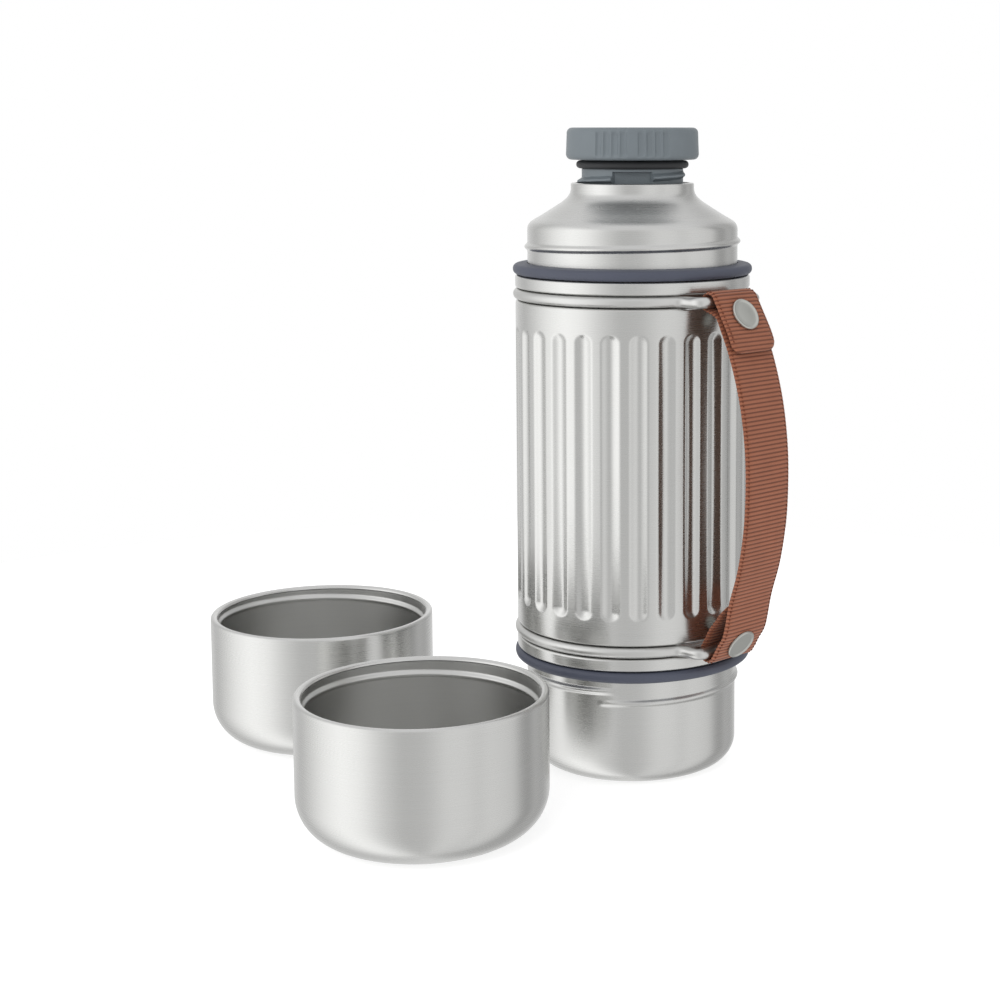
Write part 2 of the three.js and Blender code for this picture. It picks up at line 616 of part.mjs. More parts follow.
// The strap between its two loops. It passes inside the upper bar and outside the lower bar.
function strap() {
  const middle = (UPPER_WIRE + LOWER_WIRE) / 2;
  const half = (UPPER_WIRE - LOWER_WIRE) / 2;
  const lean = THREE.MathUtils.radToDeg(FLAP_LEAN);
  const bowAt = (share) => STRAP_BOW - STRAP_SWEEP * Math.abs(share) ** 2.2;
  const upperLoop = arc(BAR_RADIUS, UPPER_WIRE, LOOP_RADIUS, lean, 236, 11);
  const lowerLoop = arc(BAR_RADIUS, LOWER_WIRE, LOOP_RADIUS, -lean, -180 - lean, 10);
  const shares = [0.69, 0.46, 0.22, 0, -0.24, -0.48];
  const bow = smooth([
    moved(underUpperSnap, along(1), SNAP_FLAT),
    ...shares.map((share) => [bowAt(share), middle + half * share]),
    [lowerSnap[0] + STRAP_FOOT_OUT, lowerSnap[1] + STRAP_FOOT_RISE],
    moved(lowerSnap, along(-1), SNAP_CAP_RADIUS),
  ], 36);
  const start = vectors([...upperLoop, moved(underUpperSnap, along(1), -SNAP_FLAT / 2)]);
  const line = start.concat(bow, vectors(lowerLoop));
  const hole = SNAP_BARREL_RADIUS + CLEARANCE;
  const upperHole = standOn(disc(hole, -3, 3, SMALL_STEPS), underUpperSnap, FLAP_LEAN);
  const lowerHole = standOn(disc(hole, -3, 3, SMALL_STEPS), lowerSnap, -FLAP_LEAN);
  return cut(cut(strip(line), upperHole), lowerHole);
}

// A flap from its root to its end, with rounded free corners and the hole for its snap.
function flap(line, snapPlace, lean) {
  const hole = standOn(disc(SNAP_BARREL_RADIUS + CLEARANCE, -3, 3, SMALL_STEPS), snapPlace, lean);
  const end = line[line.length - 1];
  const before = line[line.length - 2];
  const tilt = Math.atan2(end.x - before.x, end.y - before.y);
  const size = FLAP_CORNER;
  const edge = STRAP_WIDTH / 2;
  const corner = new THREE.Shape();
  corner.moveTo(edge - size, 1);
  corner.absarc(edge - size, -size, size, Math.PI / 2, 0, true);
  corner.lineTo(edge + 1, -size);
  corner.lineTo(edge + 1, 1);
  let result = cut(strip(line), hole);
  for (const side of [0, Math.PI]) {
    const block = new THREE.ExtrudeGeometry(corner, { depth: 6, curveSegments: 4, bevelEnabled: false });
    block.translate(0, 0, -3).rotateY(side).rotateX(Math.PI / 2).rotateZ(Math.PI / 2);
    result = cut(result, block.rotateY(tilt).translate(end.x, 0, end.y));
  }
  return result;
}

function upperFlap() {
  const tail = smooth([
    moved(upperSnap, along(1), SNAP_CAP_RADIUS),
    [upperSnap[0] + 4.9, upperSnap[1] - 9.2],
    [upperSnap[0] + 6.5, upperSnap[1] - 13.4],
  ], 6);
  return flap(vectors([moved(upperLeave, along(1), SEAM_GAP)]).concat(tail), upperSnap, FLAP_LEAN);
}

function lowerFlap() {
  const tail = smooth([
    moved(behindLowerSnap, along(-1), SNAP_FLAT),
    [behindLowerSnap[0] + 6, behindLowerSnap[1] + 8.2],
    [behindLowerSnap[0] + 9.4, behindLowerSnap[1] + 13.2],
  ], 8);
  const root = moved(lowerReturn, along(-1), SEAM_GAP);
  return flap(vectors([root]).concat(tail), behindLowerSnap, -FLAP_LEAN);
}

// ---- snap fasteners ----------------------------------------------------------------------------------------------

const FACE = STRAP_THICKNESS / 2;

function snapCap() {
  const bottom = FACE + CLEARANCE;
  return turned([
    [0, bottom],
    [SNAP_CAP_RADIUS - 0.3, bottom],
    [SNAP_CAP_RADIUS, bottom + 0.4],
    [SNAP_CAP_RADIUS - 0.5, bottom + SNAP_CAP_HEIGHT],
    [0, bottom + SNAP_CAP_HEIGHT],
  ], SMALL_STEPS + 4);
}

// How far the barrel stands out of its layer towards the other one. gap is the distance between
// the two layers' centrelines.
const barrelReach = (gap) => FACE + Math.max(0, gap - 2 * STRAP_THICKNESS - SNAP_GRIP);

// Barrel that snaps over the stud.
function snapSocket(gap) {
  return ring(SNAP_BORE_RADIUS, SNAP_BARREL_RADIUS, -barrelReach(gap), FACE, SMALL_STEPS);
}

// Knob that stands out of one layer of the strap and into the socket in the other.
function snapStud(gap) {
  const reach = gap - barrelReach(gap) + SNAP_GRIP;
  return turned([
    [0, -FACE],
    [SNAP_BARREL_RADIUS, -FACE],
    [SNAP_BARREL_RADIUS, -FACE + 0.9],
    [SNAP_BORE_RADIUS - 0.7, -FACE + 1.2],
    [SNAP_BORE_RADIUS - 0.6, reach - 0.4],
    [SNAP_BORE_RADIUS - 1, reach],
    [0, reach],
  ], SMALL_STEPS);
}

function snapPost() {
  const top = -FACE - SNAP_POST_GAP;
  return disc(SNAP_POST_RADIUS, top - SNAP_POST_HEIGHT, top, SMALL_STEPS);
}

// ---- assembly ---------------------------------------------------------------------------------------------------------

function part(name, geometry, material) {
  const mesh = new THREE.Mesh(geometry, material);
  mesh.name = name;
  return mesh;
}

function bottle() {
  const group = new THREE.Group();
  group.add(
    part('body_shell', bodyShell(), steel()),
    part('shoulder_shell', shoulderShell(), steel()),
    part('base_shell', baseShell(), steel()),
    part('upper_band', band(UPPER_BAND), steel()),
    part('lower_band', band(LOWER_BAND), steel()),
    part('upper_gasket', gasket(UPPER_GASKET), silicone()),
    part('lower_gasket', gasket(BASE_HEIGHT), silicone()),
    part('flask_body', flaskBody(), innerSteel()),
    part('flask_neck', flaskNeck(), innerSteel()),
    part('getter_pellet', getter(), innerSteel()),
  );
  return group;
}

function stopper() {
  const group = new THREE.Group();
  group.add(
    part('stopper_knob', knob(), greyPlastic()),
    part('stopper_plug', plug(), greyPlastic()),
    part('stopper_core', stopperCore(), foam()),
    part('stopper_seal', stopperSeal(), blackRubber()),
  );
  return group;
}

function cup(name) {
  const group = new THREE.Group();
  group.add(
    part(`${name}_cup_shell`, cupShell(), steel()),
    part(`${name}_cup_liner`, cupLiner(), innerSteel()),
  );
  group.position.set(...CUP_PLACES[name], 0);
  return group;
}

// A snap through two layers of the strap, with its cap on the outside. The layer that swings
// open always carries the socket, so that the stud stays still.
function upperSnapPieces() {
  const pieces = {
    upper_snap_cap: standOn(snapCap(), upperSnap, FLAP_LEAN),
    upper_snap_socket: standOn(snapSocket(UPPER_LAYERS), upperSnap, FLAP_LEAN),
    upper_snap_stud: standOn(snapStud(UPPER_LAYERS), underUpperSnap, FLAP_LEAN),
    upper_snap_post: standOn(snapPost(), underUpperSnap, FLAP_LEAN),
  };
  return Object.entries(pieces).map(([name, geometry]) => part(name, geometry, nickel()));
}

function lowerSnapPieces() {
  const stud = snapStud(LOWER_LAYERS).rotateX(Math.PI);
  const socket = snapSocket(LOWER_LAYERS).rotateX(Math.PI);
  const pieces = {
    lower_snap_cap: standOn(snapCap(), lowerSnap, -FLAP_LEAN),
    lower_snap_stud: standOn(stud, lowerSnap, -FLAP_LEAN),
    lower_snap_socket: standOn(socket, behindLowerSnap, -FLAP_LEAN),
    lower_snap_post: standOn(snapPost(), behindLowerSnap, -FLAP_LEAN),
  };
  return Object.entries(pieces).map(([name, geometry]) => part(name, geometry, nickel()));
}

function carrier() {
  const group = new THREE.Group();
  group.add(
    part('upper_wire_ring', wireRing(UPPER_WIRE), steel()),
    part('lower_wire_ring', wireRing(LOWER_WIRE), steel()),
    part('strap', strap(), webbing()),
    part('upper_strap_flap', upperFlap(), webbing()),
    part('lower_strap_flap', lowerFlap(), webbing()),
    ...upperSnapPieces(),
    ...lowerSnapPieces(),
  );
  group.rotation.z = STRAP_TURN;
  return group;
}

const canteen = new THREE.Group();
canteen.add(bottle(), stopper(), carrier(), cup('front'), cup('back'));

export default canteen;
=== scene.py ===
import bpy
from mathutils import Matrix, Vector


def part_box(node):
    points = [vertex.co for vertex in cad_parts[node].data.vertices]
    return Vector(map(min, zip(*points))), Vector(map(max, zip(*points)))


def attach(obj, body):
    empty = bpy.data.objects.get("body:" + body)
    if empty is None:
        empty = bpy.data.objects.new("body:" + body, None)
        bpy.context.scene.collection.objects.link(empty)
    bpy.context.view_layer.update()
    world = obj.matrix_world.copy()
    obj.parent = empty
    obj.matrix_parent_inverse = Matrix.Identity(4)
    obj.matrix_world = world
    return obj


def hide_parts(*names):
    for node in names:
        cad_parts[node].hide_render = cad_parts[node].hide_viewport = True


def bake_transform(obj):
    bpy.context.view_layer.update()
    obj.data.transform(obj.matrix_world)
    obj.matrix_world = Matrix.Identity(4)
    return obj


bl_info = {
    "name": "Steel Canteen",
    "version": (1, 0, 0),
    "blender": (4, 5, 0),
    "location": "View3D > Sidebar > Canteen",
    "description": "Builds a fluted steel vacuum canteen with its cups, stopper and webbing strap",
    "category": "Add Mesh",
}

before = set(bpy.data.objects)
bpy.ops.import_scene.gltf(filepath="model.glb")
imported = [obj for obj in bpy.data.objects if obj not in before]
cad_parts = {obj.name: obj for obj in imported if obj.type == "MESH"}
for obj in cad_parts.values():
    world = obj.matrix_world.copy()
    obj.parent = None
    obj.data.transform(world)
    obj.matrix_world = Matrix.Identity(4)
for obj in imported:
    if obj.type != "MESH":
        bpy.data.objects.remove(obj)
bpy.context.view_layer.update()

import math

import bmesh
import bpy
from mathutils import Matrix, Vector

MM = 0.001
TURN = math.tau

# Heights and radii that the frame gives, in metres.
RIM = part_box("shoulder_shell")[1].z
BODY_LOW, BODY_HIGH = (corner.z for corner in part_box("body_shell"))
LOWER_WIRE = (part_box("lower_wire_ring")[0].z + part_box("lower_wire_ring")[1].z) / 2
UPPER_WIRE = (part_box("upper_wire_ring")[0].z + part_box("upper_wire_ring")[1].z) / 2
WIRE_RADIUS = (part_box("upper_wire_ring")[1].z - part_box("upper_wire_ring")[0].z) / 2
GASKET_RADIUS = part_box("upper_gasket")[1].x
BAND_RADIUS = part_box("upper_band")[1].x
BODY_RADIUS = GASKET_RADIUS - 1.0 * MM
SEAT_RADIUS = BODY_RADIUS - 4.95 * MM
NECK_RADIUS = 25.05 * MM
MOUTH_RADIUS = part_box("stopper_seal")[1].x + 0.3 * MM
KNOB_LOW, KNOB_HIGH = (corner.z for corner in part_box("stopper_knob"))
CUP_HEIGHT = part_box("front_cup_shell")[1].z
CUP_RADIUS = (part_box("front_cup_shell")[1].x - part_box("front_cup_shell")[0].x) / 2
WALL = 0.8 * MM
FLUTE_TURN = -1.518

# Strap sizes, in metres, in the upright plane that holds the strap.
STRAP_TURN = -math.pi / 4
STRAP_HALF = 12.5 * MM
STRAP_THICKNESS = 1.8 * MM
LOOP_RADIUS = WIRE_RADIUS + 0.3 * MM + STRAP_THICKNESS / 2
BAR_RADIUS = BODY_RADIUS + 5.8 * MM
STRAP_BOW = BODY_RADIUS + 26.0 * MM
STRAP_SWEEP = STRAP_BOW - BAR_RADIUS - 1.4 * MM
LEAN = math.pi / 6
FLAP_CORNER = 4.5 * MM


# ---- colours and settings ----------------------------------------------------------------------

def linear(code):
    """An sRGB hex colour as linear red, green and blue."""
    channels = [int(code[i:i + 2], 16) / 255 for i in (1, 3, 5)]
    return [c / 12.92 if c <= 0.04045 else ((c + 0.055) / 1.055) ** 2.4 for c in channels]


STEEL = "#CFCFCD"
SILICONE = "#454957"
PLASTIC = "#6B7378"
RUBBER = "#2A2B2D"
WEBBING = "#995E44"
# Painted shade for the valleys between the webbing's ribs.
WEBBING_SHADE = "#683A28"
# Painted shade: a duller grey-brown for the strap's face towards the bottle, with darker painted shade in
# its rib valleys.
WEBBING_SHADED_BACK = "#82695C"
WEBBING_SHADED_BACK_VALLEY = "#57443A"
NICKEL = "#BFC0BB"
FOAM = "#E8E4D8"


class CanteenSizes(bpy.types.PropertyGroup):
    """Sizes that change how the canteen's surfaces are worked."""

    flute_count: bpy.props.IntProperty(
        name="Flutes", description="Pressed flutes round the body", default=27, min=6, max=60)
    flute_width: bpy.props.FloatProperty(
        name="Flute width", description="Width of one flute", default=7.4 * MM, unit="LENGTH")
    flute_depth: bpy.props.FloatProperty(
        name="Flute depth", description="How deep a flute is pressed", default=1.25 * MM, unit="LENGTH")
    flute_margin: bpy.props.FloatProperty(
        name="Flute margin", description="End of the body to the end of a flute",
        default=10.0 * MM, unit="LENGTH")
    bead_rise: bpy.props.FloatProperty(
        name="Bead height", description="How far the rolled threads stand out",
        default=1.2 * MM, unit="LENGTH")
    rib_pitch: bpy.props.FloatProperty(
        name="Rib pitch", description="From one cross rib of the webbing to the next",
        default=1.65 * MM, unit="LENGTH")
    rib_height: bpy.props.FloatProperty(
        name="Rib height", description="Height of a cross rib of the webbing",
        default=0.26 * MM, unit="LENGTH")
    grip_depth: bpy.props.FloatProperty(
        name="Grip depth", description="Depth of the knob's grip grooves",
        default=0.7 * MM, unit="LENGTH")


class CanteenColours(bpy.types.PropertyGroup):
    """Colours of the canteen's materials."""

    steel: bpy.props.FloatVectorProperty(
        name="Steel", description="Brushed stainless steel", subtype="COLOR", default=linear(STEEL))
    silicone: bpy.props.FloatVectorProperty(
        name="Silicone", description="Gaskets", subtype="COLOR", default=linear(SILICONE))
    plastic: bpy.props.FloatVectorProperty(
        name="Plastic", description="Stopper", subtype="COLOR", default=linear(PLASTIC))
    webbing: bpy.props.FloatVectorProperty(
        name="Webbing", description="Strap, on top of its ribs", subtype="COLOR", default=linear(WEBBING))


# ---- nodes and materials -----------------------------------------------------------------------

MATH, VECTOR = "ShaderNodeMath", "ShaderNodeVectorMath"
SEPARATE, COMBINE = "ShaderNodeSeparateXYZ", "ShaderNodeCombineXYZ"
NOISE, RANGE, BUMP = "ShaderNodeTexNoise", "ShaderNodeMapRange", "ShaderNodeBump"
PRINCIPLED, PLACE = "ShaderNodeBsdfPrincipled", "ShaderNodeTexCoord"


def add(tree, kind, inputs=None, **settings):
    """Adds a node to a tree, with its settings. An input takes a value, a socket or, for a node,
    that node's first output."""
    node = tree.nodes.new(kind)
    for name, value in settings.items():
        setattr(node, name, value)
    for key, value in (inputs or {}).items():
        if isinstance(value, bpy.types.Node):
            value = value.outputs[0]
        if isinstance(value, bpy.types.NodeSocket):
            tree.links.new(value, node.inputs[key])
        else:
            node.inputs[key].default_value = value
    return node


def new_material(name):
    """An empty material, and its tree."""
    material = bpy.data.materials.new(name)
    material.use_nodes = True
    material.node_tree.nodes.clear()
    return material, material.node_tree


def surfaced(material, surface):
    """Gives a material its Principled surface, from that surface's inputs, and its output."""
    tree = material.node_tree
    shader = add(tree, PRINCIPLED, surface)
    add(tree, "ShaderNodeOutputMaterial", {"Surface": shader})
    return material


def tones(colour, dark, light):
    """A darker and a lighter tone of a colour, for the two colour inputs of a mix node."""
    return {6: [*[c * dark for c in colour], 1], 7: [*[min(c * light, 1) for c in colour], 1]}


def brushed_steel(name, centre, colour, roughness=0.27, ring_scratches=4000.0):
    """Brushed 304 stainless steel, polished with abrasive belts while it turned: fine scratches
    run round the piece, so a reflection is drawn out up and down and stays crisp across.
    ring_scratches is how many there are to a metre of radius, for faces that lie flat."""
    material, tree = new_material(name)
    place = add(tree, PLACE)
    moved = add(tree, "ShaderNodeMapping",
                {"Vector": place.outputs["Object"], "Location": (-centre[0], -centre[1], 0)})
    axes = add(tree, SEPARATE, {0: moved})
    flat = add(tree, COMBINE, {0: axes, 1: axes.outputs[1]})
    radius = add(tree, VECTOR, {0: flat}, operation="LENGTH")
    around = add(tree, VECTOR, {0: (0, 0, 1), 1: flat}, operation="CROSS_PRODUCT")
    # Grit scratches 0.25 mm apart and several centimetres long, coarser than real ones to show.
    spread = add(tree, VECTOR, {0: moved, 1: (14, 14, 4000)}, operation="MULTIPLY")
    inward = add(tree, MATH, {0: radius.outputs["Value"], 1: ring_scratches}, operation="MULTIPLY")
    scratch = add(tree, NOISE, {"Vector": spread, "W": inward, "Scale": 1.0, "Detail": 2.0},
                  noise_dimensions="4D")
    # Cloudy patches about 20 mm across, where the belt pressed harder.
    cloud = add(tree, NOISE, {"Vector": moved, "Scale": 50.0, "Detail": 2.0})
    grain = add(tree, MATH, {0: scratch, 1: cloud}, operation="ADD")
    rough = add(tree, RANGE, {"Value": grain, "From Min": 0.7, "From Max": 1.3,
                              "To Min": roughness - 0.03, "To Max": roughness + 0.03})
    tint = add(tree, "ShaderNodeMix", {0: scratch, **tones(colour, 0.95, 1.03)}, data_type="RGBA")
    bump = add(tree, BUMP, {"Height": scratch, "Strength": 0.012, "Distance": 0.05 * MM})
    return surfaced(material, {
        "Base Color": tint.outputs[2], "Metallic": 1.0, "Roughness": rough, "Anisotropic": 0.6,
        "Anisotropic Rotation": 0.25, "Normal": bump, "Tangent": around})


def polished_steel(name, colour, roughness):
    """Drawn and tumbled metal, such as stainless wire or nickel plate: satin, with no direction."""
    material, tree = new_material(name)
    place = add(tree, PLACE)
    fine = add(tree, NOISE, {"Vector": place.outputs["Object"], "Scale": 1800.0, "Detail": 3.0})
    rough = add(tree, RANGE, {"Value": fine, "From Min": 0.3, "From Max": 0.7,
                              "To Min": roughness - 0.04, "To Max": roughness + 0.05})
    bump = add(tree, BUMP, {"Height": fine, "Strength": 0.06, "Distance": 0.05 * MM})
    return surfaced(material, {
        "Base Color": [*colour, 1], "Metallic": 1.0, "Roughness": rough, "Normal": bump})


def moulded(name, colour, roughness, grain_mm, strength, specular=0.5):
    """Moulded polymer: one colour through, with the tool's fine texture on its skin."""
    material, tree = new_material(name)
    place = add(tree, PLACE)
    grain = add(tree, NOISE, {"Vector": place.outputs["Object"], "Scale": 1000.0 / grain_mm,
                              "Detail": 2.0})
    patch = add(tree, NOISE, {"Vector": place.outputs["Object"], "Scale": 90.0, "Detail": 3.0})
    tint = add(tree, "ShaderNodeMix", {0: patch, **tones(colour, 0.9, 1.1)}, data_type="RGBA")
    rough = add(tree, RANGE, {"Value": grain, "To Min": roughness - 0.06, "To Max": roughness + 0.06})
    bump = add(tree, BUMP, {"Height": grain, "Strength": strength, "Distance": 0.1 * MM})
    return surfaced(material, {
        "Base Color": tint.outputs[2], "Roughness": rough, "IOR": 1.5,
        "Specular IOR Level": specular, "Normal": bump})


def ribbed_nylon(name, colour, shade):
    """Ribbed nylon webbing: thick weft cords make cross ribs, and fine warp yarns wrap over them.
    Its own map runs across the strap in millimetres and along it in ribs."""
    material, tree = new_material(name)
    weave = add(tree, "ShaderNodeUVMap", uv_map="weave")
    axes = add(tree, SEPARATE, {0: weave})
    # One rib for each whole number along the strap: painted light on its crown and painted shade in the
    # valley.
    turns = add(tree, MATH, {0: axes.outputs[1], 1: math.pi}, operation="MULTIPLY")
    wave = add(tree, MATH, {0: turns}, operation="SINE")
    crown = add(tree, MATH, {0: wave}, operation="ABSOLUTE")
    painted_rib_shading = add(tree, RANGE, {"Value": crown, "From Min": 0.08}, interpolation_type="SMOOTHSTEP")
    # Warp yarns 0.5 mm apart, leaning a little from rib to rib: each yarn gets a painted highlight along
    # its round, with random fuzz in tone.
    slant = add(tree, MATH, {0: axes.outputs[1], 1: 0.55}, operation="MULTIPLY")
    yarns = add(tree, MATH, {0: axes, 1: 2.0, 2: slant}, operation="MULTIPLY_ADD")
    phase = add(tree, MATH, {0: yarns, 1: math.pi}, operation="MULTIPLY")
    thread = add(tree, MATH, {0: phase}, operation="SINE")
    round_thread = add(tree, MATH, {0: thread}, operation="ABSOLUTE")
    fuzz = add(tree, NOISE, {"Vector": weave, "Scale": 3.0, "Detail": 4.0})
    worn = add(tree, NOISE, {"Vector": weave, "Scale": 0.12, "Detail": 2.0})
    mixed = add(tree, MATH, {0: round_thread, 1: 0.35, 2: fuzz}, operation="MULTIPLY_ADD")
    bright = add(tree, RANGE, {"Value": mixed, "From Min": 0.35, "To Min": 0.78, "To Max": 1.15})
    base = add(tree, "ShaderNodeMix", {0: painted_rib_shading, 6: [*shade, 1], 7: [*colour, 1]}, data_type="RGBA")
    toned = add(tree, VECTOR, {0: base.outputs[2], "Scale": bright}, operation="SCALE")
    fade = add(tree, RANGE, {"Value": worn, "To Min": 0.9, "To Max": 1.1})
    aged = add(tree, "ShaderNodeHueSaturation", {"Color": toned, "Value": fade})
    relief = add(tree, MATH, {0: crown, 1: mixed}, operation="ADD")
    bump = add(tree, BUMP, {"Height": relief, "Strength": 0.5, "Distance": 0.12 * MM})
    return surfaced(material, {
        "Base Color": aged, "Roughness": 0.78, "IOR": 1.53, "Specular IOR Level": 0.35,
        "Sheen Weight": 0.12, "Sheen Roughness": 0.5, "Normal": bump})


MATERIALS = {}


def finish(name):
    """The canteen's material for a finish. The first call makes them all."""
    if not MATERIALS:
        make_materials(bpy.context.scene.canteen_colours)
    return MATERIALS[name]


def make_materials(colours):
    """Every material of the canteen, by the name of its finish."""
    steel = list(colours.steel)
    cups = {name: (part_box(f"{name}_cup_shell")[0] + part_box(f"{name}_cup_shell")[1]) / 2
            for name in ("front", "back")}
    MATERIALS.update({
        "bottle_steel": brushed_steel("brushed_stainless_bottle", (0, 0), steel, ring_scratches=500.0),
        "front_steel": brushed_steel("brushed_stainless_front_cup", cups["front"], steel),
        "back_steel": brushed_steel("brushed_stainless_back_cup", cups["back"], steel),
        "front_liner": brushed_steel("satin_stainless_front_liner", cups["front"], steel, 0.34),
        "back_liner": brushed_steel("satin_stainless_back_liner", cups["back"], steel, 0.34),
        "wire": polished_steel("tumbled_stainless_wire", steel, 0.36),
        "nickel": polished_steel("satin_nickel_plate", linear(NICKEL), 0.34),
        "silicone": moulded("moulded_silicone", list(colours.silicone), 0.52, 0.5, 0.05),
        "plastic": moulded("moulded_abs", list(colours.plastic), 0.46, 0.35, 0.12),
        "stipple": moulded("spark_eroded_abs", list(colours.plastic), 0.6, 0.8, 0.9),
        "rubber": moulded("moulded_epdm", linear(RUBBER), 0.58, 0.4, 0.06, 0.4),
        "foam": moulded("expanded_polystyrene", linear(FOAM), 0.8, 2.5, 0.4),
        "webbing": ribbed_nylon("ribbed_nylon_webbing", list(colours.webbing), linear(WEBBING_SHADE)),
        # Painted shade on the strap's face towards the bottle.
        "webbing_shaded_back": ribbed_nylon("webbing_back_painted_shade", linear(WEBBING_SHADED_BACK),
                                     linear(WEBBING_SHADED_BACK_VALLEY)),
        "selvedge": moulded("nylon_selvedge_yarn", linear("#6A3A28"), 0.8, 0.4, 0.3, 0.3),
    })


# ---- shape helpers -----------------------------------------------------------------------------

def arc(r, z, radius, start, end, steps=8):
    """Points along an arc of a profile, from one angle to another in degrees."""
    angles = [math.radians(start + (end - start) * i / steps) for i in range(steps + 1)]
    return [(r + radius * math.cos(a), z + radius * math.sin(a)) for a in angles]


def level(radius, low, high, step):
    """Points straight up or down a profile at one radius, about a step apart."""
    count = max(1, round(abs(high - low) / step))
    return [(radius, low + (high - low) * i / count) for i in range(count + 1)]


def spline(points, steps=10):
    """A smooth line through points in a plane."""
    line = [Vector(p) for p in points]
    ends = [line[0] * 2 - line[1], *line, line[-1] * 2 - line[-2]]
    result = []
    for i in range(1, len(ends) - 2):
        a, b, c, d = ends[i - 1:i + 3]
        for step in range(steps):
            t = step / steps
            result.append(0.5 * (2 * b + (c - a) * t + (2 * a - 5 * b + 4 * c - d) * t ** 2
                                 + (3 * b - a - 3 * c + d) * t ** 3))
    return result + [line[-1]]


def walled(line, wall=WALL):
    """A closed profile: an outside line, travelled upwards, and the inside line a wall away."""
    points = [Vector(p) for p in line]
    inner = []
    for i, point in enumerate(points):
        way = points[min(i + 1, len(points) - 1)] - points[max(i - 1, 0)]
        way.normalize()
        inner.append((max(point.x - way.y * wall, 0.0), point.y + way.x * wall))
    return [tuple(p) for p in points] + inner[::-1]


def link(name, mesh):
    """A new object with this mesh, shaded smooth except at its sharp edges."""
    mesh.name = name
    mesh.shade_smooth()
    mesh.set_sharp_from_angle(angle=math.radians(42))
    piece = bpy.data.objects.new(name, mesh)
    bpy.context.scene.collection.objects.link(piece)
    return piece


def turned_mesh(name, profile, steps=240, shape=None, centre=(0, 0)):
    """A closed mesh turned about an upright axis. shape(angle, r, z) gives a point's new r and z."""
    points, rings, faces = [], [], []
    for r, z in profile:
        if r < 1e-7:
            rings.append([len(points)] * steps)
            points.append((centre[0], centre[1], z))
            continue
        rings.append(list(range(len(points), len(points) + steps)))
        for i in range(steps):
            angle = TURN * i / steps - math.pi / 2
            radius, height = shape(angle, r, z) if shape else (r, z)
            points.append((centre[0] + radius * math.cos(angle),
                           centre[1] + radius * math.sin(angle), height))
    pairs = list(zip(rings, rings[1:]))
    if profile[0][0] > 1e-7:
        pairs.append((rings[-1], rings[0]))
    for low, high in pairs:
        for i in range(steps):
            j = (i + 1) % steps
            corners = list(dict.fromkeys([low[i], low[j], high[j], high[i]]))
            if len(corners) > 2:
                faces.append(corners)
    mesh = bpy.data.meshes.new(name)
    mesh.from_pydata(points, [], faces)
    return mesh


def complete(piece, body, slot, material, *nodes):
    """Gives a piece its material and body, and hides the CAD nodes that it stands for. slot is not used.
    """
    if material:
        piece.data.materials.clear()
        piece.data.materials.append(finish(material))
    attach(piece, body)
    if nodes:
        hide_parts(*nodes)
    return piece


def turned_piece(name, profile, body, slot, material, node, **shape):
    """A turned piece that stands for one CAD node."""
    piece = link(name, turned_mesh(name, profile, **shape))
    return complete(piece, body, slot, material, node)


def grown(name, base, tree, values):
    """Runs a node tree on a base object and gives back its result as a plain mesh object."""
    modifier = base.modifiers.new(name, "NODES")
    modifier.node_group = tree
    for item in tree.interface.items_tree:
        if item.item_type == "SOCKET" and item.in_out == "INPUT" and item.name in values:
            modifier[item.identifier] = values[item.name]
    bpy.context.view_layer.update()
    evaluated = base.evaluated_get(bpy.context.evaluated_depsgraph_get())
    mesh = bpy.data.meshes.new_from_object(evaluated)
    bpy.data.objects.remove(base)
    return link(name, mesh)


def new_tree(name, sockets):
    """A geometry node tree, and the sockets that give its named inputs. sockets is a list of
    (name, kind, default)."""
    tree = bpy.data.node_groups.new(name, "GeometryNodeTree")
    tree.interface.new_socket("Geometry", in_out="INPUT", socket_type="NodeSocketGeometry")
    for label, kind, default in sockets:
        socket = tree.interface.new_socket(label, in_out="INPUT", socket_type=f"NodeSocket{kind}")
        if default is not None:
            socket.default_value = default
    tree.interface.new_socket("Geometry", in_out="OUTPUT", socket_type="NodeSocketGeometry")
    return tree, add(tree, "NodeGroupInput").outputs


def painted(tree, shape, given):
    """Ends a tree: makes its shape real, gives it the tree's material and puts it out."""
    solid = add(tree, "GeometryNodeRealizeInstances", {0: shape})
    done = add(tree, "GeometryNodeSetMaterial", {"Geometry": solid, "Material": given["Material"]})
    add(tree, "NodeGroupOutput", {0: done})
    return tree


def chain(name, lines):
    """A base object made of edges only, one chain for each list of points."""
    points, edges = [], []
    for line in lines:
        first = len(points)
        points.extend(line)
        edges.extend((first + i, first + i + 1) for i in range(len(line) - 1))
    mesh = bpy.data.meshes.new(name)
    mesh.from_pydata(points, edges, [])
    piece = bpy.data.objects.new(name, mesh)
    bpy.context.scene.collection.objects.link(piece)
    return piece


def bead(angle, z, bottom, start, rise, width=3.8 * MM):
    """How far a rolled thread stands out at an angle and height. It starts at its bottom, climbs by
    its pitch in a turn, and dies away at both ends."""
    turns, pitch, run_out = 1.03, 4.8 * MM, 2.4
    total = 0.0
    along = (angle - start) % TURN
    while along < turns * TURN:
        off = abs(z - bottom - pitch * along / TURN) / (width / 2)
        if off < 1:
            ends = min(1, along * run_out, (turns * TURN - along) * run_out)
            total = max(total, rise * (0.5 + 0.5 * math.cos(math.pi * off)) * math.sqrt(max(ends, 0)))
        along += TURN
    return total


class CANTEEN_OT_materials(bpy.types.Operator):
    """Make every material in the colours that the panel gives"""

    bl_idname = "canteen.materials"
    bl_label = "Materials"

    def execute(self, context):
        make_materials(context.scene.canteen_colours)
        return {"FINISHED"}


# ---- the bottle's shells -----------------------------------------------------------------------

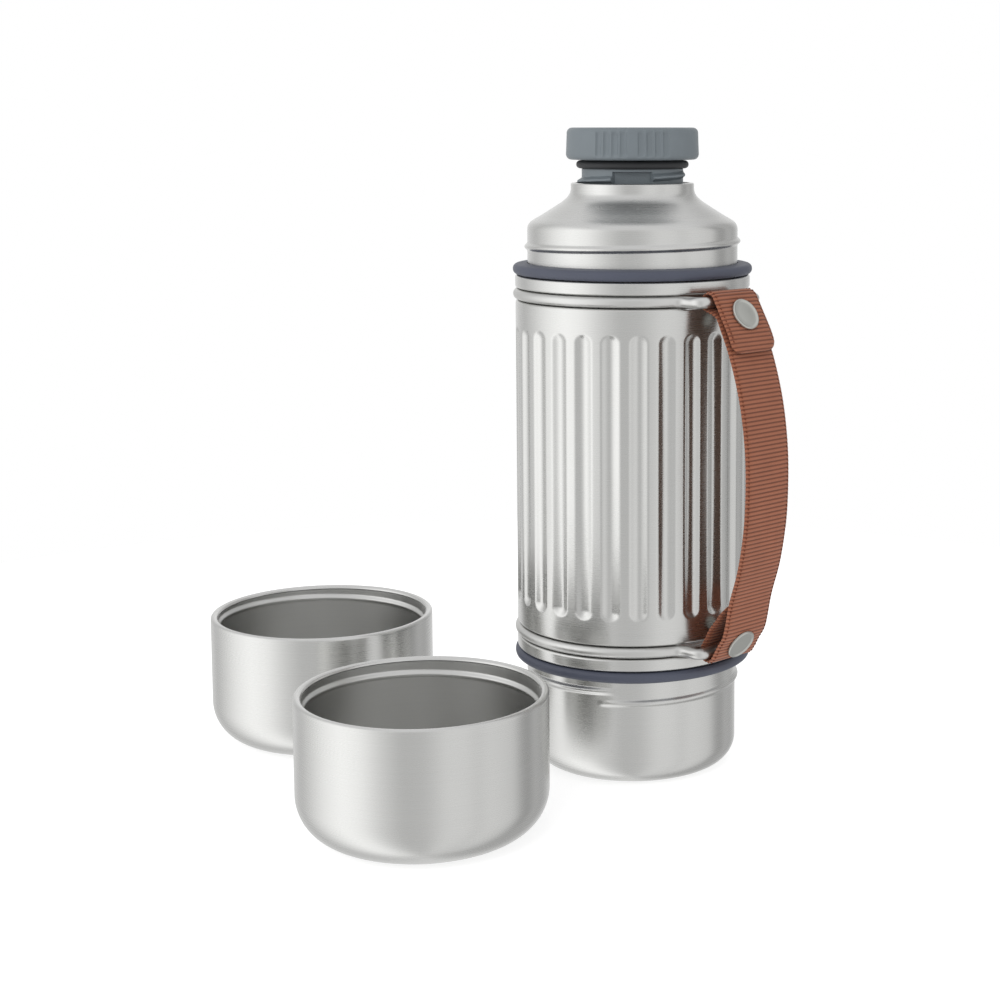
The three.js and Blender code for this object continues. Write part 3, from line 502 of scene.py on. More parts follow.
def flute_tree():
    """Presses flutes with round ends into a tube that stands on the Z axis."""
    tree, given = new_tree("press_flutes", [
        ("Count", "Float", 27.0), ("Width", "Float", 7.4 * MM), ("Depth", "Float", 1.2 * MM),
        ("Straight", "Float", 50 * MM), ("Middle", "Float", 0.125), ("Turn", "Float", 0.0),
        ("Radius", "Float", 48 * MM), ("Material", "Material", None)])
    place = add(tree, "GeometryNodeInputPosition")
    axes = add(tree, SEPARATE, {0: place})
    # How far round from the nearest flute's middle.
    angle = add(tree, MATH, {0: axes.outputs[1], 1: axes}, operation="ARCTAN2")
    turned = add(tree, MATH, {0: angle, 1: given["Turn"]}, operation="SUBTRACT")
    share = add(tree, MATH, {0: turned, 1: TURN}, operation="DIVIDE")
    number = add(tree, MATH, {0: share, 1: given["Count"]}, operation="MULTIPLY")
    whole = add(tree, MATH, {0: number}, operation="ROUND")
    part = add(tree, MATH, {0: number, 1: whole}, operation="SUBTRACT")
    step = add(tree, MATH, {0: TURN, 1: given["Count"]}, operation="DIVIDE")
    reach = add(tree, MATH, {0: step, 1: given["Radius"]}, operation="MULTIPLY")
    aside = add(tree, MATH, {0: part, 1: reach}, operation="MULTIPLY")
    # How far past the flute's straight stretch, up or down.
    height = add(tree, MATH, {0: axes.outputs[2], 1: given["Middle"]}, operation="SUBTRACT")
    far = add(tree, MATH, {0: height}, operation="ABSOLUTE")
    beyond = add(tree, MATH, {0: far, 1: given["Straight"]}, operation="SUBTRACT")
    past = add(tree, MATH, {0: beyond, 1: 0.0}, operation="MAXIMUM")
    both = add(tree, COMBINE, {0: aside, 1: past})
    length = add(tree, VECTOR, {0: both}, operation="LENGTH")
    half = add(tree, MATH, {0: given["Width"], 1: 0.5}, operation="MULTIPLY")
    near = add(tree, RANGE, {"Value": length.outputs["Value"], "From Max": half})
    # A round scoop whose edge is eased a little, as a rounded punch leaves it.
    square = add(tree, MATH, {0: near, 1: 2.0}, operation="POWER")
    scoop = add(tree, MATH, {0: 1.0, 1: square}, operation="SUBTRACT")
    eased = add(tree, MATH, {0: scoop, 1: 1.3}, operation="POWER")
    depth = add(tree, MATH, {0: eased, 1: given["Depth"]}, operation="MULTIPLY")
    inward = add(tree, MATH, {0: depth, 1: -1.0}, operation="MULTIPLY")
    flat = add(tree, COMBINE, {0: axes, 1: axes.outputs[1]})
    outward = add(tree, VECTOR, {0: flat}, operation="NORMALIZE")
    offset = add(tree, VECTOR, {0: outward, "Scale": inward}, operation="SCALE")
    pressed = add(tree, "GeometryNodeSetPosition", {"Geometry": given["Geometry"], "Offset": offset})
    return painted(tree, pressed, given)


def body_levels(margin, width):
    """Heights up the fluted body, close together where the flutes end."""
    low_end, high_end = BODY_LOW + margin, BODY_HIGH - margin
    fine = width * 0.6
    return (level(0, low_end - 0.8 * MM, low_end + fine, 0.3 * MM)
            + level(0, low_end + fine + 4 * MM, high_end - fine - 4 * MM, 5 * MM)
            + level(0, high_end - fine, high_end + 0.8 * MM, 0.3 * MM))


class CANTEEN_OT_fluted_body(bpy.types.Operator):
    """Make the fluted steel body between the two wire rings"""

    bl_idname = "canteen.fluted_body"
    bl_label = "Fluted body"

    def execute(self, context):
        sizes = context.scene.canteen_sizes
        heights = [z for _, z in body_levels(sizes.flute_margin, sizes.flute_width)]
        edge, collar = 1.2 * MM, SEAT_RADIUS + 0.3 * MM
        outside = BODY_RADIUS
        inside = BODY_RADIUS - WALL
        line = [(collar, BODY_LOW)]
        line += arc(outside - edge, BODY_LOW + edge, edge, -90, 0, 5)
        line += [(outside, z) for z in heights]
        line += arc(outside - edge, BODY_HIGH - edge, edge, 0, 90, 5)
        line += [(collar, BODY_HIGH), (collar, BODY_HIGH - WALL)]
        line += [(inside, BODY_HIGH - WALL), *((inside, z) for z in reversed(heights))]
        line += [(inside, BODY_LOW + WALL), (collar, BODY_LOW + WALL)]
        tube = turned_mesh("body_tube", line, sizes.flute_count * 18)
        base = bpy.data.objects.new("body_tube", tube)
        context.scene.collection.objects.link(base)
        straight = (BODY_HIGH - BODY_LOW - sizes.flute_width) / 2 - sizes.flute_margin
        piece = grown("fluted_body", base, flute_tree(), {
            "Count": float(sizes.flute_count), "Width": sizes.flute_width, "Depth": sizes.flute_depth,
            "Straight": straight, "Middle": (BODY_LOW + BODY_HIGH) / 2, "Turn": FLUTE_TURN,
            "Radius": BODY_RADIUS, "Material": finish("bottle_steel")})
        complete(piece, "canteen", "outer_steel", None, "body_shell")
        return {"FINISHED"}


class CANTEEN_OT_shoulder_and_base(bpy.types.Operator):
    """Make the shoulder with its neck, and the base, each with its rolled thread"""

    bl_idname = "canteen.shoulder_and_base"
    bl_label = "Shoulder and base"

    def execute(self, context):
        rise = context.scene.canteen_sizes.bead_rise
        gasket_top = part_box("upper_gasket")[1].z
        base_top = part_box("lower_gasket")[0].z

        def shoulder_thread(angle, r, z):
            if r < SEAT_RADIUS - 1.2 * MM or z > gasket_top + 14 * MM:
                return r, z
            return r + bead(angle, z, gasket_top + 4.8 * MM, -4.0, rise), z

        def base_thread(angle, r, z):
            if r < SEAT_RADIUS - 1.2 * MM:
                return r, z
            return r + bead(angle, z, base_top - 8.5 * MM, -1.89, rise), z

        slope = RIM - 17.2 * MM
        line = [(SEAT_RADIUS, BODY_HIGH - 8 * MM), (SEAT_RADIUS, gasket_top + 1 * MM)]
        line += level(SEAT_RADIUS, gasket_top + 1.6 * MM, slope - 1.6 * MM, 0.3 * MM)
        drops = [(42.85, 18.6), (42.55, 17.3), (41.7, 16.0), (40.2, 14.9), (37.6, 13.4), (34.4, 11.4),
                 (31.1, 9.3), (28.4, 7.5), (26.6, 5.9), (25.5, 4.3), (25.05, 2.6)]
        line += [tuple(p) for p in spline([(r * MM, RIM - drop * MM) for r, drop in drops], 4)]
        line += arc(NECK_RADIUS - 0.8 * MM, RIM - 0.8 * MM, 0.8 * MM, 0, 90, 5)
        line += [(MOUTH_RADIUS, RIM)]
        turned_piece("shoulder_and_neck", walled(line), "canteen", "outer_steel", "bottle_steel",
                     "shoulder_shell", steps=256, shape=shoulder_thread)

        corner = 10 * MM
        line = [(0, 0), (SEAT_RADIUS - corner - 2 * MM, 0)]
        line += arc(SEAT_RADIUS - corner, corner, corner, -90, 0, 14)
        line += level(SEAT_RADIUS, corner + 2 * MM, base_top - 12 * MM, 4 * MM)
        line += level(SEAT_RADIUS, base_top - 11.5 * MM, base_top - 0.5 * MM, 0.3 * MM)
        line += [(SEAT_RADIUS, BODY_LOW + 8 * MM)]
        turned_piece("base", walled(line), "canteen", "outer_steel", "bottle_steel", "base_shell",
                     steps=256, shape=base_thread)
        return {"FINISHED"}


class CANTEEN_OT_bands_and_gaskets(bpy.types.Operator):
    """Make the two rolled bands and the two silicone gaskets"""

    bl_idname = "canteen.bands_and_gaskets"
    bl_label = "Bands and gaskets"

    def execute(self, context):
        collar, edge = SEAT_RADIUS + 0.3 * MM, 1.0 * MM
        # A gasket's lip is thinner than its seat, on the side that faces the cup.
        thin, nose = 4.2 * MM, 1.9 * MM
        for place in ("upper", "lower"):
            low, high = (corner.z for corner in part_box(f"{place}_band"))
            line = [(collar, low), *arc(BAND_RADIUS - edge, low + edge, edge, -90, 0, 6)]
            line += [*arc(BAND_RADIUS - edge, high - edge, edge, 0, 90, 6), (collar, high)]
            line += [(collar, high - WALL), (BAND_RADIUS - WALL, high - WALL)]
            line += [(BAND_RADIUS - WALL, low + WALL), (collar, low + WALL)]
            turned_piece(f"{place}_rolled_band", line, "canteen", "outer_steel", "bottle_steel",
                         f"{place}_band", steps=200)
            low, high = (corner.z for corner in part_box(f"{place}_gasket"))
            lip = low if place == "upper" else high - thin
            line = [(collar, low), *arc(GASKET_RADIUS - nose, lip + nose, nose, -90, 0, 8)]
            line += arc(GASKET_RADIUS - nose, lip + thin - nose, nose, 0, 90, 8)
            line += [(collar, min(high, lip + thin + 0.3 * MM))]
            turned_piece(f"{place}_silicone", line, "canteen", "silicone", "silicone",
                         f"{place}_gasket", steps=200)
        return {"FINISHED"}


# ---- wire rings --------------------------------------------------------------------------------

def wire_tree():
    """Makes round wire along a chain of edges, with closed ends."""
    tree, given = new_tree("round_wire", [("Radius", "Float", 2.2 * MM), ("Sides", "Int", 20),
                                          ("Material", "Material", None)])
    curve = add(tree, "GeometryNodeMeshToCurve", {0: given["Geometry"]})
    section = add(tree, "GeometryNodeCurvePrimitiveCircle",
                  {"Resolution": given["Sides"], "Radius": given["Radius"]})
    wire = add(tree, "GeometryNodeCurveToMesh",
               {"Curve": curve, "Profile Curve": section, "Fill Caps": True})
    return painted(tree, wire, given)


def wire_route(z):
    """Points along a wire ring: round the bottle, out to the bar, along it and back."""
    ring = GASKET_RADIUS - WIRE_RADIUS
    half, flare, knee_bend, foot_bend = 16 * MM, 0.6 * MM, 3.4 * MM, 8.0 * MM
    leave = math.asin((half + flare) / ring)
    foot = Vector((ring * math.cos(leave), half + flare))
    knee = Vector((BAR_RADIUS, half))

    def bend(a, b, c, size):
        into = b + (a - b).normalized() * min(size, (a - b).length / 2)
        out = b + (c - b).normalized() * min(size, (c - b).length / 2)
        shares = [i / 8 for i in range(9)]
        return [into.lerp(b, t).lerp(b.lerp(out, t), t) for t in shares]

    # The ring's ends meet at the back, with a hair of a gap.
    back = math.pi - 0.15 * MM / ring
    turn_end = leave + foot_bend / ring
    angles = [back + (turn_end - back) * i / 90 for i in range(91)]
    around = [Vector((ring * math.cos(a), ring * math.sin(a))) for a in angles]
    corner = bend(around[-1], foot, knee, foot_bend)
    mirrored = Vector((knee.x, -knee.y))
    half_route = around + corner + bend(foot, knee, mirrored, knee_bend)
    route = half_route + [Vector((p.x, -p.y)) for p in reversed(half_route)]
    distinct = [route[0]]
    for point in route[1:]:
        if (point - distinct[-1]).length > 0.05 * MM:
            distinct.append(point)
    turn = Matrix.Rotation(STRAP_TURN, 4, "Z")
    return [turn @ Vector((p.x, p.y, z)) for p in distinct]


class CANTEEN_OT_wire_rings(bpy.types.Operator):
    """Make the two wire rings that hold the strap"""

    bl_idname = "canteen.wire_rings"
    bl_label = "Wire rings"

    def execute(self, context):
        tree = wire_tree()
        for place, z in (("upper", UPPER_WIRE), ("lower", LOWER_WIRE)):
            base = chain(f"{place}_wire_path", [wire_route(z)])
            piece = grown(f"{place}_wire", base, tree, {"Radius": WIRE_RADIUS, "Sides": 20,
                                                        "Material": finish("wire")})
            complete(piece, "canteen", "wire", None, f"{place}_wire_ring")
        return {"FINISHED"}


# ---- stopper -----------------------------------------------------------------------------------

def grip(angle, depth):
    """Depth of the knob's grip grooves at an angle: two groups of eight, with a gap in the middle."""
    step, grooves_a_side, half_width = TURN / 48, 4, 0.38
    front = (angle + math.pi / 2) % math.pi
    offset = front if front < math.pi / 2 else front - math.pi
    place = abs(offset) / step
    number = round(place)
    if not 1 <= number <= grooves_a_side:
        return 0.0
    off = abs(place - number) / half_width
    return depth * (1 - off ** 4) if off < 1 else 0.0


class CANTEEN_OT_stopper(bpy.types.Operator):
    """Make the stopper's knob, plug and O-ring"""

    bl_idname = "canteen.stopper"
    bl_label = "Stopper"

    def execute(self, context):
        self.make_knob(context.scene.canteen_sizes.grip_depth)
        self.make_plug()
        self.make_seal()
        return {"FINISHED"}

    def make_knob(self, depth):
        edge, top_radius, low_radius = 2.2 * MM, 26.65 * MM, 26.95 * MM
        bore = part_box("stopper_seal")[1].x - 2.9 * MM
        line = [(0, KNOB_HIGH - 0.5 * MM), (19.4 * MM, KNOB_HIGH - 0.5 * MM)]
        line += [(20.4 * MM, KNOB_HIGH), (22 * MM, KNOB_HIGH)]
        line += arc(top_radius - edge, KNOB_HIGH - edge, edge, 90, 0, 8)
        low_start, high_start = KNOB_LOW + 2.4 * MM, KNOB_HIGH - 2.6 * MM
        line += [(top_radius + (low_radius - top_radius) * i / 12,
                  high_start + (low_start - high_start) * i / 12) for i in range(13)]
        line += arc(low_radius - edge, KNOB_LOW + edge, edge, 0, -90, 8)
        line += [(bore, KNOB_LOW), (bore, KNOB_LOW + 6.8 * MM), (0, KNOB_LOW + 6.8 * MM)]
        middle, half = (KNOB_LOW + KNOB_HIGH) / 2, (KNOB_HIGH - KNOB_LOW) / 2 - 1.3 * MM

        def grooved(angle, r, z):
            if r < 25.0 * MM:
                return r, z
            fade = min(1.0, max(0.0, (half - abs(z - middle)) / (1.2 * MM)))
            return r - grip(angle, depth) * math.sqrt(fade), z

        turned_piece("grip_knob", line[::-1], "stopper", "grey_plastic", "plastic", "stopper_knob",
                     steps=480, shape=grooved)

    def make_plug(self):
        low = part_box("stopper_plug")[0].z
        seal_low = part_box("stopper_seal")[0].z
        core, seat = 20.6 * MM, 19.35 * MM
        top, shelf = KNOB_LOW + 6.5 * MM, seal_low - 0.4 * MM
        cavity = 16.3 * MM
        channel_top, channel_half, channel_face = shelf - 1.0 * MM, 7.6 * MM, 17.6 * MM
        pitch, turns, rise = 6.0 * MM, 1.2, 1.85 * MM
        thread_low = seal_low - 2.5 * MM - pitch * turns

        def threaded(angle, r, z):
            if r < core - 0.1 * MM or z > shelf - 0.1 * MM:
                return r, z
            x, y = math.cos(angle), math.sin(angle)
            if y < 0 and abs(x * core) < channel_half and z < channel_top:
                return channel_face / -y, z
            return r + self.thread(angle, z, thread_low, pitch, turns, rise), z

        line = [(0, low), (core - 1 * MM, low), (core, low + 1 * MM)]
        line += level(core, low + 1.4 * MM, shelf - 0.2 * MM, 0.33 * MM)
        line += [(core, shelf), (seat, shelf), (seat, top), (cavity, top), (cavity, low + 2.6 * MM)]
        line += [(0, low + 2.6 * MM)]
        mesh = turned_mesh("threaded_plug", line, 300, threaded)
        for surface in ("plastic", "stipple"):
            mesh.materials.append(finish(surface))
        for face in mesh.polygons:
            x, y, z = face.center
            if y < 0 and abs(x) < channel_half and abs(y + channel_face) < 0.2 * MM:
                face.material_index = 1
        complete(link("threaded_plug", mesh), "stopper", "grey_plastic", None, "stopper_plug")

    @staticmethod
    def thread(angle, z, low, pitch, turns, rise):
        """A V thread with a narrow crest that dies away at both ends."""
        start, half_width, run_out, crest = -1.257, 1.5 * MM, 3, 1.35
        along = (angle - start) % TURN
        while along < turns * TURN:
            off = abs(z - low - pitch * along / TURN) / half_width
            if off < 1:
                ends = min(1, along * run_out, (turns * TURN - along) * run_out)
                return rise * min(1.0, (1 - off) * crest) * max(ends, 0)
            along += TURN
        return 0.0

    def make_seal(self):
        low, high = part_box("stopper_seal")
        radius = 1.6 * MM
        line = arc(high.x - radius, (low.z + high.z) / 2, radius, 0, 345, 23)
        turned_piece("o_ring", line, "seal", "seal_rubber", "rubber", "stopper_seal", steps=160)


# ---- cups --------------------------------------------------------------------------------------

class CANTEEN_OT_cups(bpy.types.Operator):
    """Make both double-walled cups"""

    bl_idname = "canteen.cups"
    bl_label = "Cups"

    def execute(self, context):
        for name, start in (("front", -0.9), ("back", -2.5)):
            low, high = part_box(f"{name}_cup_shell")
            centre = ((low.x + high.x) / 2, (low.y + high.y) / 2)
            self.make_shell(name, centre)
            self.make_liner(name, centre, start, context.scene.canteen_sizes.bead_rise)
        return {"FINISHED"}

    def make_shell(self, name, centre):
        corner, crest = 17 * MM, CUP_RADIUS - 1.3 * MM
        inner = CUP_RADIUS - 3.1 * MM
        line = [(0, 0), *arc(CUP_RADIUS - corner, corner, corner, -90, 0, 20)]
        line += level(CUP_RADIUS, corner + 4 * MM, CUP_HEIGHT - 2 * MM, 8 * MM)
        line += arc(crest, CUP_HEIGHT - 1.3 * MM, 1.3 * MM, 0, 90, 7)
        line += [tuple(p) for p in spline([(crest - 0.5 * MM, CUP_HEIGHT - 0.06 * MM),
                                           (inner + 0.5 * MM, CUP_HEIGHT - 0.5 * MM),
                                           (inner + 0.05 * MM, CUP_HEIGHT - 1.2 * MM)], 4)]
        turned_piece(f"{name}_cup_wall", walled(line), f"{name}_cup", "outer_steel",
                     f"{name}_steel", f"{name}_cup_shell", steps=256, centre=centre)

    def make_liner(self, name, centre, start, rise):
        inner, floor, corner = CUP_RADIUS - 3.1 * MM, 2.6 * MM, 14.4 * MM
        bead_low = CUP_HEIGHT - 8.6 * MM

        def rolled(angle, r, z):
            if z < CUP_HEIGHT - 13 * MM or z > CUP_HEIGHT - 1.6 * MM:
                return r, z
            return r - bead(angle, z, bead_low, start, rise, 3.6 * MM), z

        line = [(0, floor), *arc(inner - corner, floor + corner, corner, -90, 0, 18)]
        line += level(inner, floor + corner + 4 * MM, CUP_HEIGHT - 13 * MM, 6 * MM)
        line += level(inner, CUP_HEIGHT - 12.6 * MM, CUP_HEIGHT - 1.5 * MM, 0.3 * MM)
        turned_piece(f"{name}_cup_lining", walled(line, -0.7 * MM)[::-1], f"{name}_cup", "inner_steel",
                     f"{name}_liner", f"{name}_cup_liner", steps=256, shape=rolled, centre=centre)


# ---- strap -------------------------------------------------------------------------------------

def along(side):
    """The way along the leaning layers of the strap, at the upper (1) or lower (-1) bar."""
    return Vector((math.sin(LEAN), -side * math.cos(LEAN)))


def across(side):
    """The way square out of the leaning layers of the strap."""
    return Vector((math.cos(LEAN), side * math.sin(LEAN)))


UPPER_BAR = Vector((BAR_RADIUS, UPPER_WIRE))
LOWER_BAR = Vector((BAR_RADIUS, LOWER_WIRE))
UPPER_LEAVE = UPPER_BAR + across(1) * LOOP_RADIUS
LOWER_LEAVE = LOWER_BAR + across(-1) * LOOP_RADIUS
LOWER_RETURN = LOWER_BAR - across(-1) * LOOP_RADIUS
UPPER_SNAP = UPPER_LEAVE + along(1) * 8.3 * MM
UNDER_SNAP = UPPER_SNAP - across(1) * 2.6 * MM
LOWER_SNAP = LOWER_LEAVE + along(-1) * 5.9 * MM
BEHIND_SNAP = LOWER_RETURN + along(-1) * 5.9 * MM


def strap_route():
    """The strap's centreline, from the top of the upper bar to where its lower flap begins."""
    middle, half = (UPPER_WIRE + LOWER_WIRE) / 2, (UPPER_WIRE - LOWER_WIRE) / 2
    shares = (0.69, 0.46, 0.22, 0, -0.24, -0.48, -0.68)
    points = arc(*UPPER_BAR, LOOP_RADIUS, 60, 236, 12)
    points += [UNDER_SNAP - along(1) * 1.7 * MM, UNDER_SNAP + along(1) * 3.5 * MM]
    points += [(STRAP_BOW - STRAP_SWEEP * abs(s) ** 2.2, middle + half * s) for s in shares]
    points += [LOWER_SNAP + along(-1) * 6.5 * MM, LOWER_SNAP, LOWER_LEAVE]
    points += arc(*LOWER_BAR, LOOP_RADIUS, -45, -195, 10)
    return spline([Vector(p) for p in points], 10)


def upper_flap_route():
    """From the top of the upper bar, over it and down to the flap's end."""
    points = arc(*UPPER_BAR, LOOP_RADIUS, 60, 36, 4)
    points += [UPPER_SNAP - along(1) * 3 * MM, UPPER_SNAP, UPPER_SNAP + along(1) * 6.5 * MM]
    points += [UPPER_SNAP + Vector((4.9, -9.2)) * MM, UPPER_SNAP + Vector((6.5, -13.4)) * MM]
    return spline([Vector(p) for p in points], 10)


def lower_flap_route():
    """From behind the lower bar up to the end of the flap inside the strap."""
    points = [LOWER_RETURN + along(-1) * 0.3 * MM, LOWER_RETURN + along(-1) * 2 * MM]
    points += [BEHIND_SNAP, BEHIND_SNAP + along(-1) * 3.5 * MM]
    points += [BEHIND_SNAP + Vector((6, 8.2)) * MM, BEHIND_SNAP + Vector((9.4, 13.2)) * MM]
    return spline([Vector(p) for p in points], 10)


def stations(route, spacing):
    """Points an even distance apart along a route, each with its outward direction."""
    lengths = [0.0]
    for a, b in zip(route, route[1:]):
        lengths.append(lengths[-1] + (b - a).length)
    count = max(2, round(lengths[-1] / spacing))
    result, i = [], 0
    for step in range(count + 1):
        distance = lengths[-1] * step / count
        while i < len(route) - 2 and lengths[i + 1] < distance:
            i += 1
        share = (distance - lengths[i]) / max(lengths[i + 1] - lengths[i], 1e-9)
        result.append((distance, route[i].lerp(route[i + 1], min(share, 1))))
    ways = []
    for i, (distance, point) in enumerate(result):
        way = (result[min(i + 1, count)][1] - result[max(i - 1, 0)][1]).normalized()
        ways.append((distance, point, Vector((-way.y, way.x))))
    return ways


def half_width(distance, total, corner):
    """Half the strap's width at a distance along it, with its end corners rounded off."""
    from_end = total - distance
    if corner == 0 or from_end >= corner:
        return STRAP_HALF
    return STRAP_HALF - corner + math.sqrt(max(corner ** 2 - (corner - from_end) ** 2, 0))


def webbing_mesh(name, route, pitch, rib, corner):
    """Ribbed webbing along a route: each station is one closed section across the strap."""
    rows = stations(route, pitch / 6)
    total = rows[-1][0]
    across_steps = 16
    turn = Matrix.Rotation(STRAP_TURN, 4, "Z")
    points, faces, weave = [], [], []
    sides = [1 - 2 * i / across_steps for i in range(across_steps + 1)]
    for distance, point, normal in rows:
        phase = distance / pitch
        bump = abs(math.sin(math.pi * phase)) ** 0.7
        wide = half_width(distance, total, corner) * (1 - 0.012 * (1 - bump))
        for face in (1, -1):
            for side in sides if face == 1 else reversed(sides):
                edge = max(0.0, 1 - abs(side) ** 10)
                half = (STRAP_THICKNESS / 2 - rib * 0.55) * math.sqrt(edge) + rib * (bump - 0.45) * edge
                if abs(side) == 1:
                    half = 0.12 * MM
                place = point + normal * half * face
                points.append(turn @ Vector((place.x, side * wide, place.y)))
                weave.append((side * wide / MM, phase))
    ring = 2 * (across_steps + 1)
    for row in range(len(rows) - 1):
        for i in range(ring):
            j = (i + 1) % ring
            faces.append([row * ring + i, row * ring + j, (row + 1) * ring + j, (row + 1) * ring + i])
    faces.append(list(range(ring)))
    faces.append([(len(rows) - 1) * ring + i for i in reversed(range(ring))])
    mesh = bpy.data.meshes.new(name)
    mesh.from_pydata(points, [], faces)
    # The strap's second material is for the face that lies towards the bottle, between the bars: painted
    # shade, a duller grey-brown than the same webbing on the flaps, so its reflection in the steel reads
    # dark.
    for i, face in enumerate(mesh.polygons[:(len(rows) - 1) * ring]):
        facing = across_steps < i % ring < ring - 1
        face.material_index = int(facing and LOWER_WIRE < rows[i // ring][1].y < UPPER_WIRE)
    layer = mesh.uv_layers.new(name="weave")
    for loop in mesh.loops:
        layer.data[loop.index].uv = weave[loop.vertex_index]
    shape = bmesh.new()
    shape.from_mesh(mesh)
    bmesh.ops.recalc_face_normals(shape, faces=shape.faces)
    shape.to_mesh(mesh)
    shape.free()
    return mesh


def selvedge_tree():
    """Sets small yarn loops at even steps along chains of edges."""
    tree, given = new_tree("selvedge_loops", [("Spacing", "Float", 1.65 * MM), ("Size", "Float", 0.4 * MM),
                                              ("Seed", "Int", 5), ("Material", "Material", None)])
    curve = add(tree, "GeometryNodeMeshToCurve", {0: given["Geometry"]})
    spots = add(tree, "GeometryNodeCurveToPoints", {"Curve": curve, "Length": given["Spacing"]},
                mode="LENGTH")
    loop = add(tree, "GeometryNodeMeshUVSphere", {"Segments": 8, "Rings": 5, "Radius": given["Size"]})
    flat = add(tree, "GeometryNodeTransform", {"Geometry": loop, "Scale": (0.75, 0.75, 1.25)})
    vary = add(tree, "FunctionNodeRandomValue", {2: 0.85, 3: 1.15, "Seed": given["Seed"]},
               data_type="FLOAT")
    placed = add(tree, "GeometryNodeInstanceOnPoints", {
        "Points": spots, "Instance": flat, "Rotation": spots.outputs["Rotation"],
        "Scale": vary.outputs[1]})
    return painted(tree, placed, given)


def selvedge_lines(route, end_gap):
    """Lines along both edges of both faces of a strap, where its selvedge loops sit."""
    rows = stations(route, 0.8 * MM)
    total = rows[-1][0]
    turn = Matrix.Rotation(STRAP_TURN, 4, "Z")
    lines = []
    for side in (1, -1):
        for face in (1, -1):
            lines.append([turn @ Vector((p.x, side * (STRAP_HALF - 1.3 * MM), p.y))
                          for p in (point + normal * face * (STRAP_THICKNESS / 2 - 0.22 * MM)
                                    for distance, point, normal in rows
                                    if distance < total - end_gap)])
    return lines


def spot(point, side=0.0):
    """A point of the strap's upright plane, and its distance aside, as a point of the frame."""
    return Matrix.Rotation(STRAP_TURN, 4, "Z") @ Vector((point[0], side, point[1]))


class CANTEEN_OT_strap(bpy.types.Operator):
    """Make the webbing strap and its two flaps"""

    bl_idname = "canteen.strap"
    bl_label = "Strap"

    def execute(self, context):
        sizes = context.scene.canteen_sizes
        tree = selvedge_tree()
        upper_bend = (spot(UPPER_BAR + across(1) * 4 * MM - along(1) * 2.5 * MM),
                      spot(UPPER_BAR + across(1) * 4 * MM + along(1) * 2.5 * MM))
        lower_bend = (spot(LOWER_RETURN - along(-1) * 0.5 * MM), spot(LOWER_RETURN + along(-1) * 3 * MM))
        rows = (("webbing_strap", strap_route(), 0.0, "strap", None, None),
                ("upper_webbing_flap", upper_flap_route(), FLAP_CORNER, "upper_strap_flap",
                 "top_flap", upper_bend),
                ("lower_webbing_flap", lower_flap_route(), FLAP_CORNER, "lower_strap_flap",
                 "bottom_flap", lower_bend))
        for name, route, corner, node, body, ends in rows:
            mesh = webbing_mesh(name, route, sizes.rib_pitch, sizes.rib_height, corner)
            strip = link(name, mesh)
            # The main strap's second material puts painted shade on its face towards the bottle.
            for surface in ("webbing", "webbing" if body else "webbing_shaded_back"):
                strip.data.materials.append(finish(surface))
            base = chain(f"{name}_edges", selvedge_lines(route, corner))
            loops = grown(f"{name}_selvedge", base, tree,
                          {"Spacing": sizes.rib_pitch, "Size": 0.4 * MM, "Seed": 5,
                           "Material": finish("selvedge")})
            for piece in (strip, loops):
                if body:
                    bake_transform(piece)
                else:
                    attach(piece, "canteen")
            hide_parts(node)
        return {"FINISHED"}


class CANTEEN_OT_snaps(bpy.types.Operator):
    """Make the two snap caps on the outside of the strap"""

    bl_idname = "canteen.snaps"
    bl_label = "Snaps"

    def execute(self, context):
        radius, high = 6.5 * MM, 1.1 * MM
        line = [(0, 0), (radius - 0.3 * MM, 0), (radius, 0.35 * MM), (radius - 0.05 * MM, 0.6 * MM)]
        line += arc(radius - 0.5 * MM, high - 0.45 * MM, 0.45 * MM, 10, 120, 6)
        line += [(radius - 1.0 * MM, high - 0.35 * MM), (radius - 1.5 * MM, high - 0.42 * MM)]
        line += [(radius - 3 * MM, high - 0.32 * MM), (0, high - 0.22 * MM)]
        for name, side, body in (("upper", 1, "top_flap"), ("lower", -1, "canteen")):
            low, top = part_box(f"{name}_snap_cap")
            out = spot(across(side))
            foot = (low + top) / 2 - out * high / 2
            mesh = turned_mesh(f"{name}_snap_disc", line, 96)
            mesh.transform(Matrix.Translation(foot) @ out.to_track_quat("Z", "Y").to_matrix().to_4x4())
            complete(link(f"{name}_snap_disc", mesh), body, "snap_metal", "nickel",
                     f"{name}_snap_cap")
        return {"FINISHED"}


# ---- inside ------------------------------------------------------------------------------------

